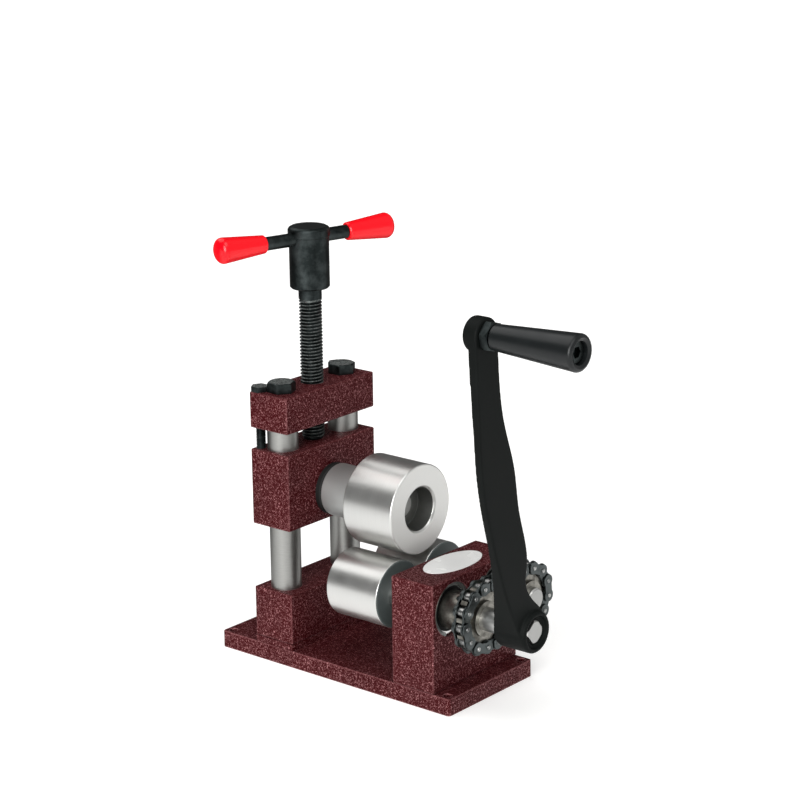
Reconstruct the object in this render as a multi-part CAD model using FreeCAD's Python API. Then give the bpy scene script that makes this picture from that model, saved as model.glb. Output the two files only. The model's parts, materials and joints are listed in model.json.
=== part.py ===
"""Hand-cranked ring roller for bending strip into rings.

Units are millimetres. X runs across the machine, +Y points from the crank to the guide posts and
+Z is up. The origin is the centre of the base plate's underside.
"""
import FreeCAD, Part
import math
import os

from FreeCAD import Vector

X_AXIS = Vector(1, 0, 0)
Y_AXIS = Vector(0, 1, 0)
Z_AXIS = Vector(0, 0, 1)

# Base plate and the blocks that stand on it
base_length = 154.0
base_thickness = 9.0
mount_hole_radius = 2.25
mount_hole_side_inset = 4.0
mount_hole_end_inset = 4.2
edge_round = 0.8

column_rear_margin = 24.5
packing_thickness = 3.6
post_block_height = 27.1
slide_floor = 3.6
slide_web = 3.9
crossbar_height = 19.0
slide_travel = 11.0
stop_gap = 0.3

bearing_block_depth = 26.5
bearing_top_wall = 1.7
bearing_side_wall = 1.3
bearing_block_front_margin = 10.0

# Guide posts
post_radius = 8.0
post_face_wall = 4.75
post_side_wall = 2.6
post_socket_depth = 20.0
post_seat_depth = 2.0
post_end_chamfer = 0.8

# Rollers and shafts
shaft_radius = 6.0
shaft_height = 49.6
lower_roller_gap = 1.0
lower_roller_width = 33.5
roller_block_gap = 8.5
upper_roller_radius = 23.5
upper_roller_width = 32.0
upper_recess_radius = 11.3
upper_recess_depth = 11.0
upper_stub_radius = 13.8
roll_gap = 3.0
roller_chamfer = 0.6
roller_pocket_radius = 8.5
roller_pocket_depth = 9.5
spacer_radius = 8.0
upper_shaft_tail = 2.0
driven_shaft_end = 7.2

# Ball bearings: outer radius, width, ball radius and count
lower_bearing_radius = 14.0
lower_bearing_width = 8.0
lower_ball_radius = 2.38
lower_ball_count = 8
upper_bearing_radius = 12.0
upper_bearing_width = 6.0
upper_ball_radius = 1.6
upper_ball_count = 10
bearing_recess = 2.2
race_groove = 0.73
upper_race_groove = 0.4
seal_thickness = 0.6
seal_inset = 0.3
seal_gap = 0.2
seat_shoulder = 2.0
circlip_thickness = 1.2
circlip_depth = 0.7
circlip_width = 2.0
circlip_opening = 9.0
dust_cover_radius = 13.6
dust_cover_thickness = 3.2
dust_cover_spigot = 1.0
face_gap = 0.3

# Press screw and its tee handle
screw_radius = 6.0
screw_pitch = 1.75
thread_depth = 1.0
screw_neck_length = 5.6
screw_rise = 50.0
journal_radius = 5.0
journal_depth = 9.0
pad_thickness = 1.2
groove_radius = 3.5
groove_height = 2.0
retainer_radius = 2.5
retainer_tip_radius = 1.4
retainer_play = 0.1
hub_radius = 10.3
hub_height = 32.1
hub_cap_radius = 10.8
hub_cap_height = 5.0
bar_radius = 3.5
bar_drop = 6.0
bar_reach = 50.0
bar_shift = 2.0
bar_angle = -14.8
knob_length = 28.0
knob_mouth_wall = 1.2
knob_outer_radius = 6.7
knob_corner_radius = 3.2
knob_corner_angle = 65.0
knob_wall = 3.0
hub_pin_radius = 1.5
hub_pin_height = 8.0
hub_screw_depth = 17.0

# Chain drive
chain_pitch = 8.0
sprocket_teeth = 12
chain_phase = 4.5
chain_offset = 17.5
chain_roller_radius = 2.3
chain_bush_radius = 1.65
chain_pin_radius = 1.15
chain_inner_width = 4.0
chain_plate_thickness = 0.9
chain_plate_gap = 0.1
inner_plate_spacing = 0.8
outer_plate_step = 0.3
plate_waist = 0.78
pin_overhang = 0.55
tooth_side_play = 0.2
tooth_clearance = 0.08
tooth_tip = 1.88
tooth_flank_angle = 28.0
sprocket_hub_radius = 10.0
sprocket_boss_radius = 9.0
sprocket_boss_length = 1.8
grub_radius = 2.0
grub_angle = 115.0

# Crank
crank_gap = 15.6
crank_hub_length = 19.0
crank_hub_radius = 10.6
crank_counterbore_radius = 8.3
crank_counterbore_depth = 2.2
square_size = 9.6
square_inset = 1.2
square_angle = 38.5
crank_reach_x = -35.3
crank_reach_z = 154.9
arm_front_inset = 2.8
arm_thickness = 5.0
boss_radius = 8.5
boss_length = 8.6

# Revolving grip on the crank
spindle_radius = 4.0
nut_flats = 13.0
nut_height = 4.6
grip_length = 48.0
grip_small_radius = 6.3
grip_large_radius = 8.9
grip_rim = 3.3
grip_dish = 0.8
grip_recess_depth = 6.0
spindle_head_play = 0.65
spindle_head_height = 3.0
grip_end_play = 0.25

# Fasteners
post_bolt_flats = 13.0
post_bolt_head = 5.3
post_bolt_radius = 4.0
post_bolt_length = 37.0
foot_screw_length = 34.0
stop_bolt_radius = 2.5
stop_bolt_flats = 8.0
stop_bolt_head = 2.8
stop_bolt_side_inset = 4.3
stop_bolt_rear_inset = 3.4
stop_bolt_depth = 14.0
stop_bolt_pitch = 0.8
block_screw_radius = 3.0
block_screw_length = 24.0
block_screw_side_inset = 9.0
block_screw_spacing = 13.5
roller_screw_radius = 3.0
roller_screw_length = 18.0
washer_thickness = 1.5
label_offset = 1.1
label_half_length = 20.2
label_half_width = 10.1
label_thickness = 0.4

# Fits
running_clearance = 0.05
bolt_clearance = 0.3

# Chain and sprockets worked out from the sizes above; the run is the shortest that fits
pitch_radius = chain_pitch / (2 * math.sin(math.pi / sprocket_teeth))
pitch_angle = 360.0 / sprocket_teeth
sprocket_radius = pitch_radius + tooth_tip
run_pitches = math.ceil(4 * sprocket_radius / chain_pitch) / 2
chain_links = int(sprocket_teeth + 2 * run_pitches)
inner_plate_radius = (chain_pitch - inner_plate_spacing) / 2
outer_plate_radius = inner_plate_radius - outer_plate_step
inner_plate_y = chain_inner_width / 2
outer_plate_y = inner_plate_y + chain_plate_thickness + chain_plate_gap
chain_half_width = outer_plate_y + chain_plate_thickness + pin_overhang
tooth_width = chain_inner_width - 2 * tooth_side_play

# Places worked out from the sizes above
driven_x = run_pitches * chain_pitch / 2
drive_x = -driven_x
lower_roller_radius = driven_x - lower_roller_gap / 2
seat_reach = lower_bearing_radius + circlip_depth
half_width = driven_x + seat_reach + bearing_side_wall
half_length = base_length / 2
column_depth = 2 * (post_radius + post_face_wall)
column_rear = half_length - column_rear_margin
column_front = column_rear - column_depth
column_middle = (column_front + column_rear) / 2
post_x = half_width - post_radius - post_side_wall
stop_bolt_x = half_width - stop_bolt_side_inset
block_front = -half_length + bearing_block_front_margin
block_rear = block_front + bearing_block_depth
block_middle = (block_front + block_rear) / 2
block_top = shaft_height + seat_reach + bearing_top_wall
block_screw_x = half_width - block_screw_side_inset
packing_top = base_thickness + packing_thickness
post_block_top = packing_top + post_block_height
post_bottom = post_block_top - post_socket_depth

axis_distance = upper_roller_radius + lower_roller_radius + roll_gap
upper_axis_height = shaft_height + math.sqrt(axis_distance ** 2 - drive_x ** 2)
slide_bottom = upper_axis_height - upper_bearing_radius - slide_floor
slide_top = upper_axis_height + upper_bearing_radius + slide_web + journal_depth
crossbar_bottom = slide_top + slide_travel + stop_gap
crossbar_top = crossbar_bottom + crossbar_height

lower_roller_front = block_rear + roller_block_gap
lower_roller_rear = lower_roller_front + lower_roller_width
upper_roller_front = lower_roller_front
upper_roller_rear = upper_roller_front + upper_roller_width
dust_cover_front = column_front - dust_cover_thickness
roller_pocket_floor = lower_roller_rear - roller_pocket_depth

chain_y = block_front - chain_offset
crank_hub_rear = chain_y - crank_gap
crank_hub_front = crank_hub_rear - crank_hub_length
arm_front = crank_hub_front + arm_front_inset
boss_x = drive_x + crank_reach_x
boss_z = shaft_height + crank_reach_z
nut_front = arm_front - nut_height
grip_rear = nut_front - grip_end_play
grip_front = grip_rear - grip_length

hub_bottom = crossbar_top + screw_rise
hub_top = hub_bottom + hub_height
bar_height = hub_top - bar_drop
knob_inner_radius = bar_radius + knob_mouth_wall
journal_bottom = slide_top - journal_depth + pad_thickness
groove_width = 2 * (retainer_tip_radius + retainer_play)
grip_recess_radius = grip_large_radius - grip_rim
spindle_head_radius = grip_recess_radius - spindle_head_play


def box(x0, x1, y0, y1, z0, z1):
    """Box between two opposite corners."""
    return Part.makeBox(x1 - x0, y1 - y0, z1 - z0, Vector(x0, y0, z0))


def bar_along(direction, radius, start, length):
    """Round bar from a start point along a direction."""
    return Part.makeCylinder(radius, length, start, direction)


def rod_y(radius, x, z, y0, y1):
    """Round bar along Y."""
    return bar_along(Y_AXIS, radius, Vector(x, y0, z), y1 - y0)


def rod_z(radius, x, y, z0, z1):
    """Round bar along Z."""
    return bar_along(Z_AXIS, radius, Vector(x, y, z0), z1 - z0)


def tube_y(outer, inner, x, z, y0, y1):
    """Tube along Y."""
    return rod_y(outer, x, z, y0, y1).cut(rod_y(inner, x, z, y0, y1))


def turned_y(profile, x, z):
    """Solid of revolution about a line along Y, from (radius, y) points."""
    points = [Vector(x + radius, y, z) for radius, y in profile]
    face = Part.Face(Part.makePolygon(points + points[:1]))
    return face.revolve(Vector(x, 0, z), Y_AXIS, 360)


def turned_z(profile, x, y):
    """Solid of revolution about a line along Z, from (radius, z) points."""
    points = [Vector(x + radius, y, height) for radius, height in profile]
    face = Part.Face(Part.makePolygon(points + points[:1]))
    return face.revolve(Vector(x, y, 0), Z_AXIS, 360)


def hexagon(flats, height, start, direction, turn=0.0):
    """Hexagonal prism that grows from a start point along a direction."""
    corner = flats / math.sqrt(3)
    angles = [math.radians(60 * side + turn) for side in range(6)]
    points = [Vector(corner * math.cos(angle), corner * math.sin(angle), 0) for angle in angles]
    prism = Part.Face(Part.makePolygon(points + points[:1])).extrude(Vector(0, 0, height))
    prism.Placement = FreeCAD.Placement(start, FreeCAD.Rotation(Z_AXIS, direction))
    return prism


def hex_head(flats, height, x, y, z, turn):
    """Hexagon bolt head, chamfered round its top, on a seat at height z."""
    corner = flats / math.sqrt(3)
    chamfer = corner - flats * 0.47
    crown = [(0, z), (corner + 1, z), (corner + 1, z + height - chamfer),
             (corner, z + height - chamfer * 0.55), (flats * 0.47, z + height), (0, z + height)]
    return hexagon(flats, height, Vector(x, y, z), Z_AXIS, turn).common(turned_z(crown, x, y))


def rounded_block(x0, x1, y0, y1, z0, z1):
    """Machined block with every edge broken by a small round."""
    block = box(x0, x1, y0, y1, z0, z1)
    return block.makeFillet(edge_round, block.Edges)


def thread_profile(crest, depth, pitch, bottom, top):
    """(radius, z) points down the outside of a threaded length, one V groove to each pitch."""
    turns = int((top - bottom) / pitch)
    points = []
    for turn in range(turns):
        height = top - turn * pitch
        points.append((crest, height))
        points.append((crest, height - 0.125 * pitch))
        points.append((crest - depth, height - 0.5 * pitch))
        points.append((crest - depth, height - 0.625 * pitch))
    points.append((crest, top - turns * pitch))
    points.append((crest, bottom))
    return points


def save(node, *solids):
    """Write one node's solids to its STEP file."""
    shape = solids[0] if len(solids) == 1 else Part.makeCompound(list(solids))
    shape.exportStep("parts/" + node + ".step")
    print(node, len(shape.Solids), "solids", round(shape.Volume, 1), "mm3", shape.isValid())


def mirrored_pair(make, distance):
    """The same solid made at minus and plus a distance in X."""
    return [make(-distance), make(distance)]


def block_screw_places():
    """Where the four screws of the bearing block stand."""
    rows = (block_middle - block_screw_spacing / 2, block_middle + block_screw_spacing / 2)
    return [(x, y) for x in (-block_screw_x, block_screw_x) for y in rows]


def countersunk_screw(radius, length, x, y):
    """Flat-headed screw driven up through the base plate."""
    bottom = face_gap
    head = 2 * radius
    profile = [(0, bottom), (head, bottom), (head, bottom + 0.4), (radius, bottom + 0.4 + radius),
               (radius, bottom + length), (0, bottom + length)]
    socket = hexagon(1.25 * radius, radius, Vector(x, y, bottom - 1), Z_AXIS)
    return turned_z(profile, x, y).cut(socket)


def countersunk_hole(radius, x, y, top):
    """Hole that fits a countersunk screw, open at the underside of the base plate."""
    bottom = face_gap
    head = 2 * radius
    profile = [(0, -1), (head, -1), (head, bottom + 0.4), (radius, bottom + 0.4 + radius),
               (radius, top), (0, top)]
    return turned_z(profile, x, y)


def foot_screw_top():
    return face_gap + foot_screw_length


def block_screw_top():
    return face_gap + block_screw_length


def base_plate():
    plate = box(-half_width, half_width, -half_length, half_length, 0, base_thickness)
    upright = [edge for edge in plate.Edges if abs(edge.tangentAt(edge.FirstParameter).z) > 0.9]
    plate = plate.makeFillet(2 * edge_round, upright)
    rim = [edge for edge in plate.Edges if edge.BoundBox.ZMin > base_thickness - 0.01]
    plate = plate.makeFillet(edge_round / 2, rim)
    for x in (mount_hole_side_inset - half_width, half_width - mount_hole_side_inset):
        for y in (mount_hole_end_inset - half_length, half_length - mount_hole_end_inset):
            plate = plate.cut(rod_z(mount_hole_radius, x, y, -1, base_thickness + 1))
    for x in (-post_x, post_x):
        plate = plate.cut(countersunk_hole(post_bolt_radius, x, column_middle, base_thickness + 1))
    for x, y in block_screw_places():
        plate = plate.cut(countersunk_hole(block_screw_radius, x, y, base_thickness + 1))
    return plate


def packing_plate():
    plate = box(-half_width, half_width, column_front, column_rear, base_thickness, packing_top)
    for x in (-post_x, post_x):
        plate = plate.cut(rod_z(post_bolt_radius, x, column_middle, base_thickness - 1, packing_top + 1))
    return plate


def post_block():
    block = rounded_block(-half_width, half_width, column_front, column_rear, packing_top, post_block_top)
    for x in (-post_x, post_x):
        block = block.cut(rod_z(post_radius, x, column_middle, post_bottom, post_block_top + 1))
        block = block.cut(rod_z(post_bolt_radius, x, column_middle, packing_top - 1, post_bottom + 1))
    return block


def guide_post(x):
    """Ground post, tapped at both ends for the bolt above it and the screw below it."""
    top = crossbar_bottom + post_seat_depth
    chamfer = post_end_chamfer
    profile = [(0, post_bottom), (post_radius - chamfer, post_bottom), (post_radius, post_bottom + chamfer),
               (post_radius, top - chamfer), (post_radius - chamfer, top), (0, top)]
    post = turned_z(profile, x, column_middle)
    bolt_bottom = crossbar_top - post_bolt_length
    post = post.cut(rod_z(post_bolt_radius, x, column_middle, bolt_bottom, top + 1))
    return post.cut(rod_z(post_bolt_radius, x, column_middle, post_bottom - 1, foot_screw_top()))


def crossbar():
    bar = rounded_block(-half_width, half_width, column_front, column_rear, crossbar_bottom, crossbar_top)
    above = crossbar_top + 1
    below = crossbar_bottom - 1
    for x in (-post_x, post_x):
        bar = bar.cut(rod_z(post_radius, x, column_middle, below, crossbar_bottom + post_seat_depth))
        bar = bar.cut(rod_z(post_bolt_radius + bolt_clearance, x, column_middle, below, above))
    for x in (-stop_bolt_x, stop_bolt_x):
        y = column_rear - stop_bolt_rear_inset
        bar = bar.cut(rod_z(stop_bolt_radius + bolt_clearance / 2, x, y, below, above))
    return bar.cut(rod_z(screw_radius + running_clearance, 0, column_middle, below, above))


def post_bolt(x):
    """Hexagon bolt that clamps the crossbar down on a guide post."""
    head = hex_head(post_bolt_flats, post_bolt_head, x, column_middle, crossbar_top, 24 if x < 0 else 32)
    shank = rod_z(post_bolt_radius, x, column_middle, crossbar_top - post_bolt_length, crossbar_top)
    return head.fuse(shank)


def lower_seat_ys():
    """Y ranges of the front and the rear bearing in the bearing block."""
    front = block_front + bearing_recess
    rear = block_rear - bearing_recess
    return [(front, front + lower_bearing_width), (rear - lower_bearing_width, rear)]


def upper_seat_ys():
    """Y ranges of the front and the rear bearing in the slide block."""
    front = column_front + dust_cover_spigot
    rear = column_rear - circlip_thickness - face_gap
    return [(front, front + upper_bearing_width), (rear - upper_bearing_width, rear)]


def circlip_ys():
    """Y ranges of the front and the rear circlip groove in the bearing block."""
    front, rear = lower_seat_ys()
    return [(front[0] - circlip_thickness, front[0]), (rear[1], rear[1] + circlip_thickness)]


def bearing_block():
    block = rounded_block(-half_width, half_width, block_front, block_rear, base_thickness, block_top)
    front, rear = lower_seat_ys()
    for x in (drive_x, driven_x):
        radius = lower_bearing_radius
        block = block.cut(rod_y(radius, x, shaft_height, block_front - 1, front[1]))
        block = block.cut(rod_y(radius, x, shaft_height, rear[0], block_rear + 1))
        block = block.cut(rod_y(radius - seat_shoulder, x, shaft_height, front[1] - 1, rear[0] + 1))
        for y0, y1 in circlip_ys():
            block = block.cut(rod_y(radius + circlip_depth, x, shaft_height, y0, y1))
    for x, y in block_screw_places():
        block = block.cut(rod_z(block_screw_radius, x, y, base_thickness - 1, block_screw_top()))
    return block


def label_plate():
    """Blank oval plate on top of the bearing block."""
    middle = Vector(0, block_middle + label_offset, block_top)
    rim = Part.Ellipse(middle, label_half_length, label_half_width).toShape()
    return Part.Face(Part.Wire(rim)).extrude(Vector(0, 0, label_thickness))


def bearing(x, z, ys, outer_radius, ball_radius, ball_count, groove):
    """Outer ring, inner ring, balls and seals of one sealed ball bearing along Y."""
    y0, y1 = ys
    middle = (y0 + y1) / 2
    track_radius = (outer_radius + shaft_radius) / 2
    centre = Vector(x, middle, z)
    outer_bore = track_radius + ball_radius - groove
    inner_rim = track_radius - ball_radius + groove
    outer = tube_y(outer_radius, outer_bore, x, z, y0, y1)
    outer = outer.cut(Part.makeTorus(track_radius, ball_radius, centre, Y_AXIS))
    inner = tube_y(inner_rim, shaft_radius, x, z, y0, y1)
    inner = inner.cut(Part.makeTorus(track_radius, ball_radius + running_clearance, centre, Y_AXIS))
    balls = []
    for count in range(ball_count):
        angle = 2 * math.pi * count / ball_count
        place = centre + Vector(track_radius * math.cos(angle), 0, track_radius * math.sin(angle))
        balls.append(Part.makeSphere(ball_radius, place))
    seals = []
    for start in (y0 + seal_inset, y1 - seal_inset - seal_thickness):
        seals.append(tube_y(outer_bore, inner_rim + seal_gap, x, z, start, start + seal_thickness))
    return outer, inner, balls, seals


def circlip(x, z, ys):
    """Internal circlip with its opening downwards."""
    outer = lower_bearing_radius + circlip_depth
    inner = lower_bearing_radius - circlip_width
    ring = tube_y(outer, inner, x, z, ys[0], ys[1])
    opening = box(x - circlip_opening / 2, x + circlip_opening / 2, ys[0] - 1, ys[1] + 1, z - outer - 1, z)
    return ring.cut(opening)


def slide_block():
    block = rounded_block(-half_width, half_width, column_front, column_rear, slide_bottom, slide_top)
    below = slide_bottom - 1
    above = slide_top + 1
    for x in (-post_x, post_x):
        block = block.cut(rod_z(post_radius + running_clearance, x, column_middle, below, above))
    for x in (-stop_bolt_x, stop_bolt_x):
        y = column_rear - stop_bolt_rear_inset
        block = block.cut(rod_z(stop_bolt_radius, x, y, slide_top - stop_bolt_depth, above))
    front, rear = upper_seat_ys()
    radius = upper_bearing_radius
    block = block.cut(rod_y(radius, 0, upper_axis_height, column_front - 1, front[1]))
    block = block.cut(rod_y(radius, 0, upper_axis_height, rear[0], column_rear + 1))
    block = block.cut(rod_y(radius - seat_shoulder, 0, upper_axis_height, front[1] - 1, rear[0] + 1))
    pocket = journal_radius + running_clearance
    block = block.cut(rod_z(pocket, 0, column_middle, slide_top - journal_depth, above))
    return block.cut(rod_y(retainer_radius, 0, retainer_height(), column_middle, column_rear + 1))


def retainer_height():
    """Height of the grub screw that holds the press screw's end in the slide block."""
    return journal_bottom + groove_height + groove_width / 2


def retainer_screw():
    tip = column_middle + groove_radius + running_clearance
    shoulder = column_middle + journal_radius + 2 * running_clearance + 1
    body = rod_y(retainer_radius, 0, retainer_height(), shoulder, column_rear - face_gap)
    socket = hexagon(2.5, 3, Vector(0, column_rear - face_gap - 2.2, retainer_height()), Y_AXIS)
    point = rod_y(retainer_tip_radius, 0, retainer_height(), tip, shoulder)
    return body.fuse(point).cut(socket)


def thrust_pad():
    floor = slide_top - journal_depth
    return rod_z(journal_radius - running_clearance, 0, column_middle, floor, floor + pad_thickness)


def dust_cover():
    """Black cover ring on the slide block's face, round the upper roller's neck."""
    bore = spacer_radius + seal_gap + face_gap
    spigot_end = column_front + dust_cover_spigot
    rim = dust_cover_radius
    profile = [(bore, dust_cover_front), (rim - 0.8, dust_cover_front), (rim, dust_cover_front + 0.8),
               (rim, column_front), (upper_bearing_radius, column_front),
               (upper_bearing_radius, spigot_end), (bore, spigot_end)]
    return turned_y(profile, 0, upper_axis_height)


def stop_bolt(x):
    """Bolt screwed into the slide block, whose head stops the slide on the crossbar."""
    y = column_rear - stop_bolt_rear_inset
    bottom = slide_top - stop_bolt_depth + 1
    thread = thread_profile(stop_bolt_radius, 0.5 * stop_bolt_pitch, stop_bolt_pitch, bottom, crossbar_top)
    shank = turned_z([(0, crossbar_top)] + thread + [(0, bottom)], x, y)
    head = hexagon(stop_bolt_flats, stop_bolt_head, Vector(x, y, crossbar_top), Z_AXIS, 30)
    return head.fuse(shank)


def press_screw():
    """Screw with a plain neck under the hub and a grooved journal in the slide block."""
    top = hub_bottom + hub_screw_depth
    thread_top = hub_bottom - screw_neck_length
    thread_bottom = slide_top + stop_gap
    groove_bottom = journal_bottom + groove_height
    groove_top = groove_bottom + groove_width
    chamfer = thread_depth
    profile = [(0, top), (screw_radius, top)]
    profile += thread_profile(screw_radius, thread_depth, screw_pitch, thread_bottom + chamfer, thread_top)
    profile += [(journal_radius, thread_bottom), (journal_radius, groove_top), (groove_radius, groove_top),
                (groove_radius, groove_bottom), (journal_radius, groove_bottom),
                (journal_radius, journal_bottom + 0.5), (journal_radius - 0.5, journal_bottom),
                (0, journal_bottom)]
    screw = turned_z(profile, 0, column_middle)
    return screw.cut(hub_pin())


def bar_direction():
    angle = math.radians(bar_angle)
    return Vector(math.cos(angle), math.sin(angle), 0)


def along_bar(distance, height=None):
    """Point on the tee bar's line, at a distance from the screw's axis."""
    level = bar_height if height is None else height
    return Vector(0, column_middle, level) + bar_direction() * distance


def hub_pin():
    """Cross pin that ties the tee hub to the screw."""
    start = along_bar(-hub_radius + face_gap, hub_bottom + hub_pin_height)
    return bar_along(bar_direction(), hub_pin_radius, start, 2 * (hub_radius - face_gap))


def tee_hub():
    rim = hub_cap_radius
    cap_bottom = hub_top - hub_cap_height
    profile = [(0, hub_bottom), (hub_radius - 0.8, hub_bottom), (hub_radius, hub_bottom + 0.8),
               (hub_radius, cap_bottom - 0.4), (rim, cap_bottom), (rim, hub_top - 1.6),
               (rim - 0.5, hub_top - 0.7), (rim - 1.8, hub_top), (0, hub_top)]
    hub = turned_z(profile, 0, column_middle)
    hub = hub.cut(rod_z(screw_radius, 0, column_middle, hub_bottom - 1, hub_bottom + hub_screw_depth))
    hub = hub.cut(bar_along(bar_direction(), bar_radius, along_bar(-2 * rim), 4 * rim))
    return hub.cut(hub_pin())


def tee_bar():
    return bar_along(bar_direction(), bar_radius, along_bar(-bar_reach - bar_shift), 2 * bar_reach)


def tee_knob(side):
    """Tapered cap pushed over one end of the tee bar; side is -1 or 1."""
    bar_end = side * bar_reach - bar_shift
    tip = bar_end + side * knob_wall
    start = tip - side * knob_length
    radius = knob_outer_radius
    corner = knob_corner_radius
    lean = math.radians(knob_corner_angle)
    shoulder = radius - corner * (1 - math.cos(lean))
    dome = shoulder / math.cos(lean)
    swell = tip - side * (dome - (dome - corner) * math.sin(lean))
    crown = (math.pi / 2 + lean) / 2
    top_middle = Vector(dome * math.cos(crown), 0, tip - side * dome * (1 - math.sin(crown)))

    def round_corner(turn):
        return Vector(radius - corner * (1 - math.cos(turn)), 0, swell + side * corner * math.sin(turn))

    outline = Part.Wire([
        Part.makeLine(Vector(0, 0, start), Vector(knob_inner_radius - 0.5, 0, start)),
        Part.makeLine(Vector(knob_inner_radius - 0.5, 0, start), Vector(knob_inner_radius, 0, start + side * 0.5)),
        Part.makeLine(Vector(knob_inner_radius, 0, start + side * 0.5), Vector(radius, 0, swell)),
        Part.Arc(round_corner(0), round_corner(lean / 2), round_corner(lean)).toShape(),
        Part.Arc(round_corner(lean), top_middle, Vector(0, 0, tip)).toShape(),
        Part.makeLine(Vector(0, 0, tip), Vector(0, 0, start))])
    knob = Part.Face(outline).revolve(Vector(0, 0, 0), Z_AXIS, 360)
    knob.Placement = FreeCAD.Placement(along_bar(0), FreeCAD.Rotation(Z_AXIS, bar_direction()))
    bore = bar_along(bar_direction() * side, bar_radius, along_bar(start - side), abs(bar_end - start) + 1)
    return knob.cut(bore)


def upper_roller():
    """Roller with its stub and neck turned in one piece, and a recess in its front face."""
    neck_end = upper_seat_ys()[0][0]
    stub_end = dust_cover_front - face_gap
    front = upper_roller_front
    rear = upper_roller_rear
    floor = front + upper_recess_depth
    chamfer = roller_chamfer
    radius = upper_roller_radius
    recess = upper_recess_radius
    profile = [(shaft_radius, floor), (recess, floor), (recess, front + 1.2), (recess + 1.2, front),
               (radius - chamfer, front), (radius, front + chamfer), (radius, rear - chamfer),
               (radius - chamfer, rear), (upper_stub_radius, rear), (upper_stub_radius, stub_end - chamfer),
               (upper_stub_radius - chamfer, stub_end), (spacer_radius, stub_end),
               (spacer_radius, neck_end), (shaft_radius, neck_end)]
    return turned_y(profile, 0, upper_axis_height)


def upper_shaft():
    """Shaft of the upper roller, centre-drilled in front, grooved for a circlip at the rear."""
    front = upper_roller_front + upper_recess_depth - face_gap
    rear = column_rear + upper_shaft_tail
    groove = upper_seat_ys()[1][1]
    profile = [(0, front + 2), (1.2, front + 0.8), (1.2, front), (shaft_radius - 0.5, front),
               (shaft_radius, front + 0.5), (shaft_radius, groove), (shaft_radius - circlip_depth, groove),
               (shaft_radius - circlip_depth, groove + circlip_thickness),
               (shaft_radius, groove + circlip_thickness), (shaft_radius, rear - 0.8),
               (shaft_radius - 0.8, rear), (0, rear)]
    return turned_y(profile, 0, upper_axis_height)


def upper_circlip():
    start = upper_seat_ys()[1][1]
    inner = shaft_radius - circlip_depth
    ring = tube_y(inner + circlip_width, inner, 0, upper_axis_height, start, start + circlip_thickness)
    bottom = upper_axis_height - inner - circlip_width
    return ring.cut(box(-2.2, 2.2, start - 1, start + circlip_thickness + 1, bottom - 1, upper_axis_height))


def spacer(x, z, y0, y1):
    return tube_y(spacer_radius, shaft_radius, x, z, y0, y1)


def lower_roller(x):
    front = lower_roller_front
    rear = lower_roller_rear
    floor = roller_pocket_floor
    chamfer = roller_chamfer
    radius = lower_roller_radius
    profile = [(shaft_radius, front), (radius - chamfer, front), (radius, front + chamfer),
               (radius, rear - chamfer), (radius - chamfer, rear), (roller_pocket_radius + 0.8, rear),
               (roller_pocket_radius, rear - 0.8), (roller_pocket_radius, floor), (shaft_radius, floor)]
    return turned_y(profile, x, shaft_height)


def roller_washer(x):
    floor = roller_pocket_floor
    return tube_y(roller_pocket_radius - face_gap, roller_screw_radius + bolt_clearance / 2, x,
                  shaft_height, floor, floor + washer_thickness)


def roller_screw(x):
    """Socket-head screw in the rear end of a lower shaft."""
    seat = roller_pocket_floor + washer_thickness
    head_radius = 5.0
    head_height = 6.0
    screw = rod_y(head_radius, x, shaft_height, seat, seat + head_height)
    screw = screw.fuse(rod_y(roller_screw_radius, x, shaft_height, seat - roller_screw_length, seat))
    return screw.cut(hexagon(5, head_height, Vector(x, seat + 3, shaft_height), Y_AXIS))


def lower_shaft(x, front, squared):
    """Shaft of a lower roller; the drive shaft ends in a square for the crank."""
    rear = roller_pocket_floor - face_gap
    chamfer = 0.8
    profile = [(0, front), (shaft_radius - chamfer, front), (shaft_radius, front + chamfer),
               (shaft_radius, rear - chamfer), (shaft_radius - chamfer, rear), (0, rear)]
    shaft = turned_y(profile, x, shaft_height)
    if squared:
        sleeve = rod_y(shaft_radius + 1, x, shaft_height, front - 1, crank_hub_rear)
        shaft = shaft.cut(sleeve.cut(square_end(front - 2, crank_hub_rear + 1)))
    tapped = roller_pocket_floor + washer_thickness - roller_screw_length
    shaft = shaft.cut(rod_y(roller_screw_radius, x, shaft_height, tapped, rear + 1))
    return shaft.cut(grub_screw(x, grub_radius))


def square_end(y0, y1):
    """Square bar on the drive axis, set at the angle of the crank's socket."""
    half = square_size / 2
    prism = box(-half, half, y0, y1, -half, half)
    prism.rotate(Vector(0, 0, 0), Y_AXIS, -square_angle)
    prism.translate(Vector(drive_x, 0, shaft_height))
    return prism


def grub_screw(x, radius):
    """Grub screw through a sprocket's hub, with its tip in a dimple of the shaft."""
    angle = math.radians(grub_angle)
    outward = Vector(math.cos(angle), 0, math.sin(angle))
    middle = (chain_y + tooth_width / 2 + block_front) / 2
    start = Vector(x, middle, shaft_height) + outward * (shaft_radius - 0.6)
    length = sprocket_hub_radius - shaft_radius + 0.2
    return bar_along(outward, radius, start, length)


def grub_hole(x):
    """Hole for the grub screw, open at the hub's surface."""
    angle = math.radians(grub_angle)
    outward = Vector(math.cos(angle), 0, math.sin(angle))
    middle = (chain_y + tooth_width / 2 + block_front) / 2
    start = Vector(x, middle, shaft_height) + outward * (shaft_radius - 0.6)
    return bar_along(outward, grub_radius, start, sprocket_hub_radius)


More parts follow.
